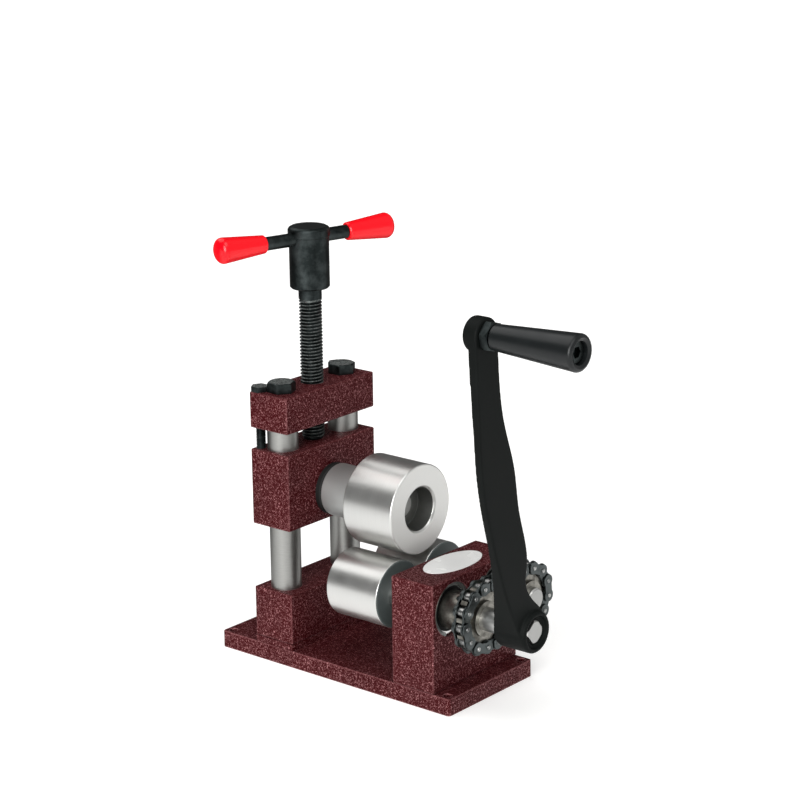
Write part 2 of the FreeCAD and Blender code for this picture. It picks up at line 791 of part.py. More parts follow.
def sprocket(x, first_gap):
    """Twelve-tooth sprocket with a clamping hub; first_gap is the angle of one tooth gap."""
    gap_radius = chain_roller_radius + tooth_clearance
    y0 = chain_y - tooth_width / 2
    y1 = chain_y + tooth_width / 2
    wheel = rod_y(sprocket_radius, x, shaft_height, y0, y1)
    flank = math.radians(tooth_flank_angle)
    foot = Vector(pitch_radius - gap_radius * math.sin(flank), y0, gap_radius * math.cos(flank))
    top = foot + Vector(math.cos(flank), 0, math.sin(flank)) * chain_pitch
    mouth = [foot, top, Vector(top.x, y0, -top.z), Vector(foot.x, y0, -foot.z)]
    wedge = Part.Face(Part.makePolygon(mouth + mouth[:1])).extrude(Vector(0, tooth_width, 0))
    seat = rod_y(gap_radius, pitch_radius, 0, y0, y1)
    gaps = []
    for tooth in range(sprocket_teeth):
        for cutter in (seat.copy(), wedge.copy()):
            cutter.rotate(Vector(0, 0, 0), Y_AXIS, -(first_gap + tooth * pitch_angle))
            cutter.translate(Vector(x, 0, shaft_height))
            gaps.append(cutter)
    wheel = wheel.cut(gaps)
    step = lower_seat_ys()[0][0]
    wheel = wheel.fuse(rod_y(sprocket_hub_radius, x, shaft_height, y1 - 1, step - 1))
    wheel = wheel.fuse(rod_y(spacer_radius, x, shaft_height, step - 2, step))
    wheel = wheel.fuse(rod_y(sprocket_boss_radius, x, shaft_height, y0 - sprocket_boss_length, y0 + 1))
    wheel = wheel.cut(rod_y(shaft_radius, x, shaft_height, y0 - sprocket_boss_length - 1, step + 1))
    return wheel.cut(grub_hole(x)).removeSplitter()


def chain_point(distance):
    """Place of a chain pin, as x and z from the middle of the drive.

    The distance along the chain is counted in pitches from the top of the left sprocket, over its
    outer side, along the bottom run, round the right sprocket and back along the top run.
    """
    half_turn = sprocket_teeth / 2
    if distance <= half_turn:
        angle = math.radians(90 + distance * pitch_angle)
        return drive_x + pitch_radius * math.cos(angle), pitch_radius * math.sin(angle)
    distance -= half_turn
    if distance <= run_pitches:
        return drive_x + distance * chain_pitch, -pitch_radius
    distance -= run_pitches
    if distance <= half_turn:
        angle = math.radians(-90 + distance * pitch_angle)
        return driven_x + pitch_radius * math.cos(angle), pitch_radius * math.sin(angle)
    distance -= half_turn
    return driven_x - distance * chain_pitch, pitch_radius


def chain_pins():
    """Places of all the chain's pins, the first one just left of the left sprocket's top."""
    start = chain_phase / pitch_angle
    places = [chain_point(start + count) for count in range(chain_links)]
    return [Vector(x, chain_y, shaft_height + z) for x, z in places]


def link_plate(radius, y0, y1):
    """Waisted side plate of one link, lying along X with its first hole at the origin."""
    ends = rod_y(radius, 0, 0, y0, y1).fuse(rod_y(radius, chain_pitch, 0, y0, y1))
    waist = radius * plate_waist
    web = box(0, chain_pitch, y0, y1, -waist, waist)
    return ends.fuse(web).removeSplitter()


def place_link(plate, first, second):
    """Move a link plate so that its holes lie on two chain pins."""
    way = second - first
    angle = math.degrees(math.atan2(way.z, way.x))
    plate.rotate(Vector(0, 0, 0), Y_AXIS, -angle)
    plate.translate(first)
    return plate


def link_plates(pins, first_link, radius, inner_y, hole_radius):
    """Both side plates of every second link, starting from the link after a given pin."""
    plates = []
    for index in range(first_link, len(pins) - 1, 2):
        for y0 in (inner_y, -inner_y - chain_plate_thickness):
            plate = place_link(link_plate(radius, y0, y0 + chain_plate_thickness), pins[index], pins[index + 1])
            for pin in (pins[index], pins[index + 1]):
                plate = plate.cut(rod_y(hole_radius, pin.x, pin.z, chain_y - 9, chain_y + 9))
            plates.append(plate)
    return plates


def closing_link(first, second):
    """Link that closes the chain, wide round the first pin.

    With an odd count of links it is cranked to be narrow at the second pin.
    """
    thickness = chain_plate_thickness
    plates = []
    for side in (-1, 1):
        wide = side * outer_plate_y
        narrow = side * inner_plate_y if chain_links % 2 else wide
        bend_start = inner_plate_radius + chain_plate_gap / 2
        bend_end = chain_pitch - outer_plate_radius - chain_plate_gap / 2
        reach = 2 * inner_plate_radius
        line = [(-reach, wide), (bend_start, wide), (bend_end, narrow), (chain_pitch + reach, narrow)]
        back = [(x, y + side * thickness) for x, y in reversed(line)]
        points = [Vector(x, y, -reach) for x, y in line + back]
        strip = Part.Face(Part.makePolygon(points + points[:1])).extrude(Vector(0, 0, 2 * reach))
        plate = strip.common(link_plate(outer_plate_radius, -2 * outer_plate_y, 2 * outer_plate_y))
        plate = place_link(plate, first, second)
        plate = plate.cut(rod_y(chain_pin_radius, first.x, first.z, chain_y - 9, chain_y + 9))
        plates.append(plate.cut(rod_y(chain_bush_radius, second.x, second.z, chain_y - 9, chain_y + 9)))
    return plates


def chain_pin(place):
    radius = chain_pin_radius
    half = chain_half_width
    profile = [(0, place.y - half), (radius - 0.3, place.y - half), (radius, place.y - half + 0.3),
               (radius, place.y + half - 0.3), (radius - 0.3, place.y + half), (0, place.y + half)]
    return turned_y(profile, place.x, place.z)


def chain_bush(place):
    half = inner_plate_y + chain_plate_thickness
    return tube_y(chain_bush_radius, chain_pin_radius, place.x, place.z, place.y - half, place.y + half)


def chain_roller(place):
    half = inner_plate_y - running_clearance
    return tube_y(chain_roller_radius, chain_bush_radius, place.x, place.z, place.y - half, place.y + half)


def spline(points):
    """Smooth edge through chosen points."""
    curve = Part.BSplineCurve()
    curve.interpolate(points)
    return curve.toShape()


def arm_outline():
    """Face outline of the crank arm, between the hub and the boss, seen along Y."""
    left = [(boss_x - boss_radius, boss_z - 1.0), (boss_x - 7.7, boss_z - 14.6), (boss_x - 5.8, boss_z - 45.0),
            (boss_x - 3.9, boss_z - 68.6), (drive_x - 31.6, shaft_height + 54.5),
            (drive_x - 26.0, shaft_height + 37.0), (drive_x - 17.4, shaft_height + 14.8),
            (drive_x - crank_hub_radius + 0.2, shaft_height)]
    right = [(drive_x + crank_hub_radius - 0.4, shaft_height + 2.0), (drive_x + 6.7, shaft_height + 10.1),
             (drive_x + 0.8, shaft_height + 16.0), (drive_x - 5.1, shaft_height + 26.4),
             (drive_x - 4.2, shaft_height + 35.8), (drive_x - 5.2, shaft_height + 45.7),
             (drive_x - 10.6, shaft_height + 64.7), (drive_x - 14.1, shaft_height + 85.6),
             (boss_x + 13.0, boss_z - 43.4), (boss_x + 9.2, boss_z - 18.1), (boss_x + boss_radius, boss_z - 1.0)]
    left_points = [Vector(x, arm_front, z) for x, z in left]
    right_points = [Vector(x, arm_front, z) for x, z in right]
    return Part.Wire([spline(left_points), Part.makeLine(left_points[-1], right_points[0]),
                      spline(right_points), Part.makeLine(right_points[-1], left_points[0])])


def arm_side():
    """Side outline of the crank arm: thin along its length, swelling into the hub."""
    arm_rear = arm_front + arm_thickness
    back = [(arm_rear, boss_z + 20), (arm_rear, boss_z - 15), (arm_rear - 1.0, shaft_height + 100),
            (arm_rear - 1.0, shaft_height + 60), (arm_rear + 0.5, shaft_height + 36),
            (arm_rear + 6.0, shaft_height + 14), (crank_hub_rear, shaft_height)]
    points = [Vector(0, y, z) for y, z in back]
    bottom = Vector(0, crank_hub_rear, shaft_height - 5)
    corners = [points[-1], bottom, Vector(0, arm_front, shaft_height - 5), Vector(0, arm_front, boss_z + 20), points[0]]
    edges = [Part.makeLine(start, end) for start, end in zip(corners, corners[1:])]
    return Part.Wire([spline(points)] + edges)


def crank_arm():
    depth = crank_hub_rear - arm_front
    plate = Part.Face(arm_outline()).extrude(Vector(0, depth, 0))
    side = Part.Face(arm_side()).extrude(Vector(4 * abs(crank_reach_x), 0, 0))
    side.translate(Vector(boss_x - 2 * abs(crank_reach_x), 0, 0))
    arm = plate.common(side)
    hub = turned_y([(0, crank_hub_front), (crank_hub_radius - 1, crank_hub_front),
                    (crank_hub_radius, crank_hub_front + 1), (crank_hub_radius, crank_hub_rear - 0.6),
                    (crank_hub_radius - 0.6, crank_hub_rear), (0, crank_hub_rear)], drive_x, shaft_height)
    boss_rear = arm_front + boss_length
    boss = turned_y([(0, arm_front), (boss_radius - 0.6, arm_front), (boss_radius, arm_front + 0.6),
                     (boss_radius, boss_rear - 1), (boss_radius - 1, boss_rear), (0, boss_rear)], boss_x, boss_z)
    crank = arm.fuse(hub).fuse(boss)
    crank = crank.cut(square_end(crank_hub_front - 1, crank_hub_rear + 1))
    floor = crank_hub_front + crank_counterbore_depth
    crank = crank.cut(rod_y(crank_counterbore_radius, drive_x, shaft_height, crank_hub_front - 1, floor))
    crank = crank.cut(crank_grub_bar(crank_hub_radius))
    return crank.cut(rod_y(spindle_radius, boss_x, boss_z, arm_front - 1, boss_rear + 1))


def crank_grub_bar(length):
    """Round bar from a flat of the shaft's square outwards through the crank's hub."""
    angle = math.radians(square_angle)
    outward = Vector(math.sin(angle), 0, -math.cos(angle))
    start = Vector(drive_x, crank_hub_rear - crank_hub_length / 3, shaft_height)
    return bar_along(outward, grub_radius, start + outward * (square_size / 2), length)


def crank_grub_screw():
    """Grub screw in the side of the crank's hub, bearing on the shaft's square."""
    return crank_grub_bar(crank_hub_radius - square_size / 2 - 0.6)


def grip_nut():
    nut = hexagon(nut_flats, nut_height, Vector(boss_x, nut_front, boss_z), Y_AXIS, 15)
    corner = nut_flats / math.sqrt(3)
    crown = turned_y([(0, nut_front), (nut_flats * 0.47, nut_front), (corner, nut_front + 0.8),
                      (corner, arm_front - 0.8), (nut_flats * 0.47, arm_front), (0, arm_front)], boss_x, boss_z)
    return nut.common(crown).cut(rod_y(spindle_radius, boss_x, boss_z, nut_front - 1, arm_front + 1))


def grip_spindle():
    """Shoulder screw that carries the grip, with its head in the grip's end."""
    seat = grip_front + grip_recess_depth - grip_end_play
    head = rod_y(spindle_head_radius, boss_x, boss_z, seat - spindle_head_height, seat)
    shank = rod_y(spindle_radius, boss_x, boss_z, seat, arm_front + boss_length)
    socket = hexagon(5, 2.2, Vector(boss_x, seat - spindle_head_height - 0.01, boss_z), Y_AXIS)
    return head.fuse(shank).cut(socket)


def grip():
    """Tapered revolving grip, rounded at its large end and hollowed for the spindle's head."""
    bore = spindle_radius + running_clearance
    end = grip_front
    rim = grip_large_radius
    floor = end + grip_recess_depth
    start = grip_rear
    taper_end = end + 2.2
    edges = [
        ((bore, start), (grip_small_radius - 0.6, start)),
        ((grip_small_radius - 0.6, start), (grip_small_radius, start - 0.6)),
        ((grip_small_radius, start - 0.6), (rim, taper_end))]
    tail = [((grip_recess_radius, end + grip_dish), (grip_recess_radius, floor)),
            ((grip_recess_radius, floor), (bore, floor)),
            ((bore, floor), (bore, start))]

    def place(point):
        return Vector(boss_x + point[0], point[1], boss_z)

    outline = [Part.makeLine(place(first), place(last)) for first, last in edges]
    outline.append(Part.Arc(place((rim, taper_end)), place((rim - 0.5, end + 0.6)),
                            place((rim - 1.8, end))).toShape())
    outline.append(Part.makeLine(place((rim - 1.8, end)), place((grip_recess_radius, end + grip_dish))))
    outline += [Part.makeLine(place(first), place(last)) for first, last in tail]
    return Part.Face(Part.Wire(outline)).revolve(Vector(boss_x, 0, boss_z), Y_AXIS, 360)


def save_frame():
    save("base_plate", base_plate())
    save("packing_plate", packing_plate())
    save("post_block", post_block())
    save("guide_post_left", guide_post(-post_x))
    save("guide_post_right", guide_post(post_x))
    save("crossbar", crossbar())
    save("crossbar_bolts", *mirrored_pair(post_bolt, post_x))
    foot = [countersunk_screw(post_bolt_radius, foot_screw_length, x, column_middle) for x in (-post_x, post_x)]
    save("post_foot_screws", *foot)
    save("bearing_block", bearing_block())
    places = block_screw_places()
    save("bearing_block_screws", *[countersunk_screw(block_screw_radius, block_screw_length, x, y) for x, y in places])
    save("label_plate", label_plate())


def save_lower_bearings():
    """Bearings of both lower shafts: rings, balls, seals, circlips and spacers."""
    outers, balls, seals = [], [], []
    inners = {drive_x: [], driven_x: []}
    for x in (drive_x, driven_x):
        for ys in lower_seat_ys():
            outer, inner, ball_set, seal_set = bearing(x, shaft_height, ys, lower_bearing_radius,
                                                       lower_ball_radius, lower_ball_count, race_groove)
            outers.append(outer)
            inners[x].append(inner)
            balls += ball_set
            seals += seal_set
    save("lower_bearing_outer_rings", *outers)
    save("lower_bearing_balls", *balls)
    save("lower_bearing_seals", *seals)
    save("drive_bearing_inner_rings", *inners[drive_x])
    save("driven_bearing_inner_rings", *inners[driven_x])
    save("bearing_circlips", *[circlip(x, shaft_height, ys) for x in (drive_x, driven_x) for ys in circlip_ys()])


def save_upper_roller():
    """Upper roller, its shaft and its two bearings."""
    outers, inners, balls, seals = [], [], [], []
    for ys in upper_seat_ys():
        outer, inner, ball_set, seal_set = bearing(0, upper_axis_height, ys, upper_bearing_radius,
                                                   upper_ball_radius, upper_ball_count, upper_race_groove)
        outers.append(outer)
        inners.append(inner)
        balls += ball_set
        seals += seal_set
    save("upper_bearing_outer_rings", *outers)
    save("upper_bearing_balls", *balls)
    save("upper_bearing_seals", *seals)
    save("upper_bearing_inner_rings", *inners)
    front, rear = upper_seat_ys()
    save("upper_bearing_spacer", spacer(0, upper_axis_height, front[1], rear[0]))
    save("upper_shaft", upper_shaft())
    save("upper_shaft_circlip", upper_circlip())
    save("upper_roller", upper_roller())


def save_slide():
    save("slide_block", slide_block())
    save("stop_bolts", *mirrored_pair(stop_bolt, stop_bolt_x))
    save("thrust_pad", thrust_pad())
    save("screw_retainer", retainer_screw())
    save("dust_cover", dust_cover())


def save_press_screw():
    save("press_screw", press_screw())
    save("tee_hub", tee_hub())
    save("tee_bar", tee_bar())
    save("tee_knob_left", tee_knob(-1))
    save("tee_knob_right", tee_knob(1))
    save("tee_hub_pin", hub_pin())


def save_chain():
    pins = chain_pins()
    save("chain_pins", *[chain_pin(place) for place in pins])
    save("chain_bushes", *[chain_bush(place) for place in pins])
    save("chain_rollers", *[chain_roller(place) for place in pins])
    inner = link_plates(pins, 0, inner_plate_radius, inner_plate_y, chain_bush_radius)
    outer = link_plates(pins, 1, outer_plate_radius, outer_plate_y, chain_pin_radius)
    save("chain_inner_plates", *inner)
    save("chain_outer_plates", *outer)
    save("chain_cranked_link", *closing_link(pins[0], pins[-1]))


def save_lower_shafts():
    rear_seat = lower_seat_ys()[1][1]
    drive_front = crank_hub_front + square_inset
    driven_front = chain_y - driven_shaft_end
    names = (("drive", drive_x, drive_front, True), ("driven", driven_x, driven_front, False))
    for name, x, front, squared in names:
        save(name + "_shaft", lower_shaft(x, front, squared))
        save(name + "_roller", lower_roller(x))
        save(name + "_roller_screw", roller_screw(x), roller_washer(x))
        save(name + "_spacer", spacer(x, shaft_height, rear_seat, lower_roller_front))
        save(name + "_sprocket_grub_screw", grub_screw(x, grub_radius))
    save("drive_sprocket", sprocket(drive_x, 90 + chain_phase))
    save("driven_sprocket", sprocket(driven_x, 90 + chain_phase - pitch_angle * (run_pitches % 1)))


def save_crank():
    save("crank_arm", crank_arm())
    save("crank_grub_screw", crank_grub_screw())
    save("grip_nut", grip_nut())
    save("grip_spindle", grip_spindle())
    save("grip", grip())


os.makedirs("parts", exist_ok=True)
save_frame()
save_lower_bearings()
save_upper_roller()
save_slide()
save_press_screw()
save_chain()
save_lower_shafts()
save_crank()
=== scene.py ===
"""Finishes, finer meshes, floor, lights and camera of a hand-cranked ring roller.

Lengths are in metres. X runs across the machine, +Y points from the crank to the guide posts and
+Z is up, with the origin under the middle of the base plate.
"""
import json
import math

import bmesh
import bpy
from mathutils import Matrix, Vector

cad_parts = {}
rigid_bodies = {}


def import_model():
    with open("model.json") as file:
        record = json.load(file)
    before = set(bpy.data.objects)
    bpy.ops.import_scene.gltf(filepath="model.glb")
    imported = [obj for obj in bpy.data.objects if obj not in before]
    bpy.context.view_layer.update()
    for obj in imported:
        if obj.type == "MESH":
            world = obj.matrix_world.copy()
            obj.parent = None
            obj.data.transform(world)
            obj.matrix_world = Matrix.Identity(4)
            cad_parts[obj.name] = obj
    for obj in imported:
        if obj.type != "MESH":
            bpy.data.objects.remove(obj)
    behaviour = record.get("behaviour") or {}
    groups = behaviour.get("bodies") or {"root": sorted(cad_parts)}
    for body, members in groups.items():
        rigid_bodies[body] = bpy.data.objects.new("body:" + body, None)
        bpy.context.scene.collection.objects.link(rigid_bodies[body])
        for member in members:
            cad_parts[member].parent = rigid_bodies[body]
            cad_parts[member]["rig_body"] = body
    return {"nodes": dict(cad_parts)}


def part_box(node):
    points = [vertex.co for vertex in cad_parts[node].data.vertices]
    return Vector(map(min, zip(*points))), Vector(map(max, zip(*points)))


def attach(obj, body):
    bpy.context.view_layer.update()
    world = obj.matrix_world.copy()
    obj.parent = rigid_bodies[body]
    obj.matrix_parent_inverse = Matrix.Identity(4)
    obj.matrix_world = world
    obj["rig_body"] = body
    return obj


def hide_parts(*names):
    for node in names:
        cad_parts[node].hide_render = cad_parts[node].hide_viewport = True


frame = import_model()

bl_info = {
    "name": "Ring roller",
    "version": (1, 0, 0),
    "blender": (4, 5, 0),
    "location": "3D View > Sidebar > Ring roller",
    "description": "Dresses the parts of a ring roller and lights them",
    "category": "Object",
}

MM = 0.001
FAR = 1.0    # metres from the origin, past the machine on every side
WELD_DISTANCE = 0.002 * MM
FLAT_ANGLE = math.radians(0.4)
EDGE_ANGLE = math.radians(28)
THREAD_EDGE_ANGLE = math.radians(38)
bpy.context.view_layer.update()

# Each softbox's name, the direction to it, half its angle in degrees and its irradiance.
SOFTBOXES = (
    ("left_softbox", (-0.91, -0.25, 0.33), 18, 2.6),
    ("back_softbox", (-0.06, 0.617, 0.785), 27, 1.0),
    ("high_softbox", (-0.25, -0.4, 0.88), 20, 0.9))

# Greys of the room's walls, each with its share of the way from the crank's side (-Y) to the posts' (+Y).
ROOM_WALLS = ((0.0, 0.5), (0.4, 0.45), (0.62, 0.09), (1.0, 0.07))


def linear(code):
    """Scene-linear RGBA of an sRGB hex colour."""
    shares = [int(code[start:start + 2], 16) / 255 for start in (1, 3, 5)]
    return [share / 12.92 if share < 0.04045 else ((share + 0.055) / 1.055) ** 2.4
            for share in shares] + [1.0]


def colour(name, code, description):
    """Colour property with an sRGB hex default."""
    return bpy.props.FloatVectorProperty(
        name=name, description=description, default=linear(code), size=4, min=0, max=1, subtype="COLOR")


def length(name, default_mm, description):
    """Length property with its default given in millimetres."""
    return bpy.props.FloatProperty(
        name=name, description=description, default=default_mm * MM, min=0, precision=5, unit="LENGTH")


class RollerFinishes(bpy.types.PropertyGroup):
    """Colours and grain sizes of the finishes."""
    enamel: colour("Enamel", "#3b060a", "Colour in the hollows of the hammertone enamel")
    # Painted highlight: the pale colour of the enamel's crests stands in for their glints.
    enamel_crest_glint: colour("Enamel crest", "#dc9698", "Colour on the crests of the hammertone enamel")
    enamel_grain: length("Enamel grain", 0.55, "Distance between two crests of the hammertone enamel")
    # Painted highlight: width of the pale band painted along the enamel's edges.
    enamel_edge_glint: length("Enamel edge", 0.8, "Width of the pale edges of the hammertone enamel")
    steel: colour("Steel", "#e2e2df", "Colour of turned steel")
    steel_shadow: colour("Steel groove", "#cfcfcc", "Colour of turned steel in the grooves of the cut")
    ground: colour("Ground steel", "#acaca9", "Colour of the ground guide posts")
    ground_shadow: colour(
        "Ground steel grain", "#8b8b88", "Colour of the guide posts in the grain of the wheel")
    neck: colour("Neck", "#b9bbb9", "Colour of the upper roller's turned-down neck")
    # Painted shade: the lower rollers' front faces are painted dark, as though in shadow.
    painted_shade_face: colour("Dark face", "#474e4d", "Colour of the unpolished front face of a lower roller")
    # Painted shade: the darker colour inside the upper roller's recess stands in for the shade there.
    recess_shade: colour("Bored face", "#7c7d7a", "Colour inside the upper roller's recess")
    turning_feed: length("Turning feed", 0.35, "Distance between two turning marks")
    oxide: colour("Black oxide", "#232828", "Colour of blackened steel")
    oxide_rub: colour("Rubbed oxide", "#4d5353", "Colour of blackened steel where it is rubbed")
    # Painted highlight: the lighter, speckled grey given to the bolts' head tops.
    oxide_top_highlight: colour("Worn oxide", "#9ba09e", "Colour of blackened steel where it is worn bright")
    # Wear and painted highlight: the lighter grey of the press screw's thread crests.
    thread_crest_highlight: colour("Worn thread", "#777c7a", "Colour of the press screw's thread on its crests")
    shaft_end: colour("Shaft end", "#b2b2b0", "Colour of the shafts' sawn and faced ends")
    crank_enamel: colour("Crank enamel", "#0a0c0b", "Colour of the crank's satin enamel")
    crank_cloud: colour("Crank enamel cloud", "#141716", "Colour of the paler clouds in the crank's enamel")
    grip_plastic: colour("Grip plastic", "#131617", "Colour of the grip")
    knob_plastic: colour("Knob plastic", "#fb0016", "Colour of the tee bar's knobs")
    chain_steel: colour("Chain steel", "#4c5151", "Colour of the chain's plates")
    chain_grime: colour("Chain grime", "#161614", "Colour of the oil and dirt in the chain")
    sprocket: colour("Sprocket", "#8b8982", "Colour of the sprockets where they are worn bright")
    sprocket_oil: colour("Sprocket oil", "#3a3731", "Colour of the oil stains on the sprockets")
    spring: colour("Spring steel", "#a3a5a3", "Colour of the circlips where they are bright")
    spring_shadow: colour("Spring steel skin", "#5c5f5d", "Colour of the circlips' phosphate skin")
    bronze: colour("Bronze", "#b98a4d", "Colour of turned bronze")
    bronze_tarnish: colour("Bronze tarnish", "#7a5527", "Colour of tarnished bronze")
    rubber: colour("Rubber", "#111211", "Colour of the seals and the dust cover")
    label_enamel: colour("Label enamel", "#f4f4f2", "Colour of the blank label plate")


class RollerSizes(bpy.types.PropertyGroup):
    """Sizes that the finer meshes add to those of the frame."""
    thread_pitch: length("Thread pitch", 1.75, "Pitch of the press screw's thread")
    thread_depth: length("Thread depth", 1.0, "Depth of the press screw's thread")
    roller_width: length("Roller width", 32.0, "Width of the upper roller's barrel")
    recess_radius: length("Recess radius", 11.3, "Radius of the recess in the upper roller's face")
    recess_depth: length("Recess depth", 11.0, "Depth of the recess in the upper roller's face")
    thread_neck: length("Thread neck", 5.6, "Plain length of the press screw under its hub")
    hub_socket: length("Hub socket", 17.0, "Length of the press screw inside its hub")
    journal_radius: length("Journal radius", 5.0, "Radius of the press screw in the slide block")
    groove_radius: length("Groove radius", 3.5, "Radius at the bottom of the journal's groove")
    groove_height: length("Groove height", 2.0, "Height of the journal's groove over its end")
    groove_width: length("Groove width", 3.0, "Width of the journal's groove")
    forging_grain: length("Forging grain", 0.5, "Size of the facets that the crank's forged skin is made of")
    forging_passes: bpy.props.IntProperty(
        name="Forging passes", description="How often the crank's skin is smoothed", default=8, min=0)
    machined_edge: length("Machined edge", 0.25, "Width of the broken edges of turned and milled pieces")
    fine_edge: length("Fine edge", 0.12, "Width of the broken edges of the chain's pieces")


class RollerStage(bpy.types.PropertyGroup):
    """Camera, floor and lights."""
    camera_place: bpy.props.FloatVectorProperty(
        name="Camera place", description="Where the camera stands", default=(-0.9094, -0.7806, 0.4835),
        subtype="TRANSLATION", unit="LENGTH", precision=4)
    camera_right: bpy.props.FloatVectorProperty(
        name="Camera right", description="Direction of the picture's right side",
        default=(0.63917, -0.76897, -0.01214), subtype="DIRECTION")
    camera_up: bpy.props.FloatVectorProperty(
        name="Camera up", description="Direction of the picture's top",
        default=(0.21847, 0.16641, 0.96155), subtype="DIRECTION")
    focal_length: bpy.props.FloatProperty(
        name="Focal length", description="Focal length on a 36 mm sensor, in millimetres",
        default=110.48, min=1)
    floor_size: length("Floor size", 14000, "Side of the square floor")
    floor: colour("Floor", "#f3f3f2", "Colour of the floor")


def add_node(tree, kind, settings=None, inputs=None):
    """Adds a node with its settings, its input values and its links; "stops" are a colour ramp's."""
    node = tree.nodes.new(kind)
    for name, value in (settings or {}).items():
        if name == "stops":
            elements = node.color_ramp.elements
            while len(elements) < len(value):
                elements.new(1.0)
            for element, (position, shade) in zip(elements, value):
                element.position = position
                element.color = shade
        else:
            setattr(node, name, value)
    for name, value in (inputs or {}).items():
        if isinstance(value, bpy.types.NodeSocket):
            tree.links.new(value, node.inputs[name])
        else:
            node.inputs[name].default_value = value
    return node


def new_material(name):
    """Empty material with a Principled shader; returns the material, its tree and the shader."""
    material = bpy.data.materials.new(name)
    material.use_nodes = True
    tree = material.node_tree
    return material, tree, tree.nodes["Principled BSDF"]


def part_place(tree):
    """Socket with the place on the part, in metres."""
    return add_node(tree, "ShaderNodeTexCoord").outputs["Object"]


def grey(value):
    """Grey RGBA for a ramp stop."""
    return (value, value, value, 1)


def hammertone_enamel(name="hammertone_enamel", edge_glint=0.7):
    """Hammertone enamel, sprayed over cast blocks.

    Silicone in the paint draws it up into a net of thin crests round dark red hollows; the crests are
    painted pale, a painted highlight for the glints they catch. The edges are painted pale too, a painted
    highlight along them: the second argument is the most that they turn to the crests' colour, from 0 to 1.
    """
    look = bpy.context.scene.roller_finishes
    material, tree, shader = new_material(name)
    place = part_place(tree)
    cells = add_node(tree, "ShaderNodeTexNoise", inputs={
        "Vector": place, "Scale": 0.62 / look.enamel_grain, "Detail": 1.5, "Roughness": 0.5,
        "Distortion": 0.25})
    offset = add_node(tree, "ShaderNodeMath", {"operation": "SUBTRACT"}, {0: cells.outputs["Fac"], 1: 0.5})
    slope = add_node(tree, "ShaderNodeMath", {"operation": "ABSOLUTE"}, {0: offset.outputs[0]})
    crests = add_node(tree, "ShaderNodeMapRange", {"interpolation_type": "SMOOTHSTEP"}, {
        "Value": slope.outputs[0], "From Min": 0.0, "From Max": 0.048, "To Min": 1.0, "To Max": 0.0})
    spray = add_node(tree, "ShaderNodeTexNoise", inputs={
        "Vector": place, "Scale": 0.45 / look.enamel_grain, "Detail": 2.0, "Roughness": 0.7})
    drawn_up = add_node(tree, "ShaderNodeMapRange", inputs={
        "Value": spray.outputs["Fac"], "From Min": 0.42, "From Max": 0.64, "To Min": 0.05, "To Max": 1.0})
    net = add_node(tree, "ShaderNodeMath", {"operation": "MULTIPLY"}, {
        0: crests.outputs["Result"], 1: drawn_up.outputs["Result"]})
    rounded = add_node(tree, "ShaderNodeBevel", {"samples": 4}, {"Radius": look.enamel_edge_glint})
    facing = add_node(tree, "ShaderNodeVectorMath", {"operation": "DOT_PRODUCT"}, {
        0: rounded.outputs["Normal"], 1: add_node(tree, "ShaderNodeNewGeometry").outputs["Normal"]})
    # Painted highlight along the edges, where the bevel rounds the normal.
    edge = add_node(tree, "ShaderNodeMapRange", inputs={
        "Value": facing.outputs["Value"], "From Min": 0.985, "From Max": 0.88, "To Min": 0.0,
        "To Max": edge_glint})
    share = add_node(tree, "ShaderNodeMath", {"operation": "MAXIMUM"}, {
        0: net.outputs[0], 1: edge.outputs["Result"]})
    # Painted highlight: crests and edges take the pale glint colour.
    tint = add_node(tree, "ShaderNodeMix", {"data_type": "RGBA"}, {
        "Factor": share.outputs[0], 6: look.enamel, 7: look.enamel_crest_glint})
    cloud = add_node(tree, "ShaderNodeTexNoise", inputs={"Vector": place, "Scale": 40.0, "Detail": 2.0})
    shade = add_node(tree, "ShaderNodeValToRGB", {"stops": [(0.3, grey(0.8)), (0.7, grey(1.0))]}, {
        "Fac": cloud.outputs["Fac"]})
    base = add_node(tree, "ShaderNodeMix", {"data_type": "RGBA", "blend_type": "MULTIPLY"}, {
        "Factor": 1.0, 6: tint.outputs[2], 7: shade.outputs["Color"]})
    bump = add_node(tree, "ShaderNodeBump", inputs={
        "Height": net.outputs[0], "Normal": rounded.outputs["Normal"], "Strength": 0.8, "Distance": 0.1 * MM})
    rough = add_node(tree, "ShaderNodeMapRange", inputs={
        "Value": share.outputs[0], "To Min": 0.46, "To Max": 0.34})
    flake = add_node(tree, "ShaderNodeMath", {"operation": "MULTIPLY"}, {0: share.outputs[0], 1: 0.5})
    shine = add_node(tree, "ShaderNodeMapRange", inputs={
        "Value": share.outputs[0], "To Min": 0.05, "To Max": 0.5})
    tree.links.new(flake.outputs[0], shader.inputs["Metallic"])
    tree.links.new(shine.outputs["Result"], shader.inputs["Specular IOR Level"])
    tree.links.new(base.outputs[2], shader.inputs["Base Color"])
    tree.links.new(bump.outputs["Normal"], shader.inputs["Normal"])
    tree.links.new(rough.outputs["Result"], shader.inputs["Roughness"])
    shader.inputs["IOR"].default_value = 1.5
    return material


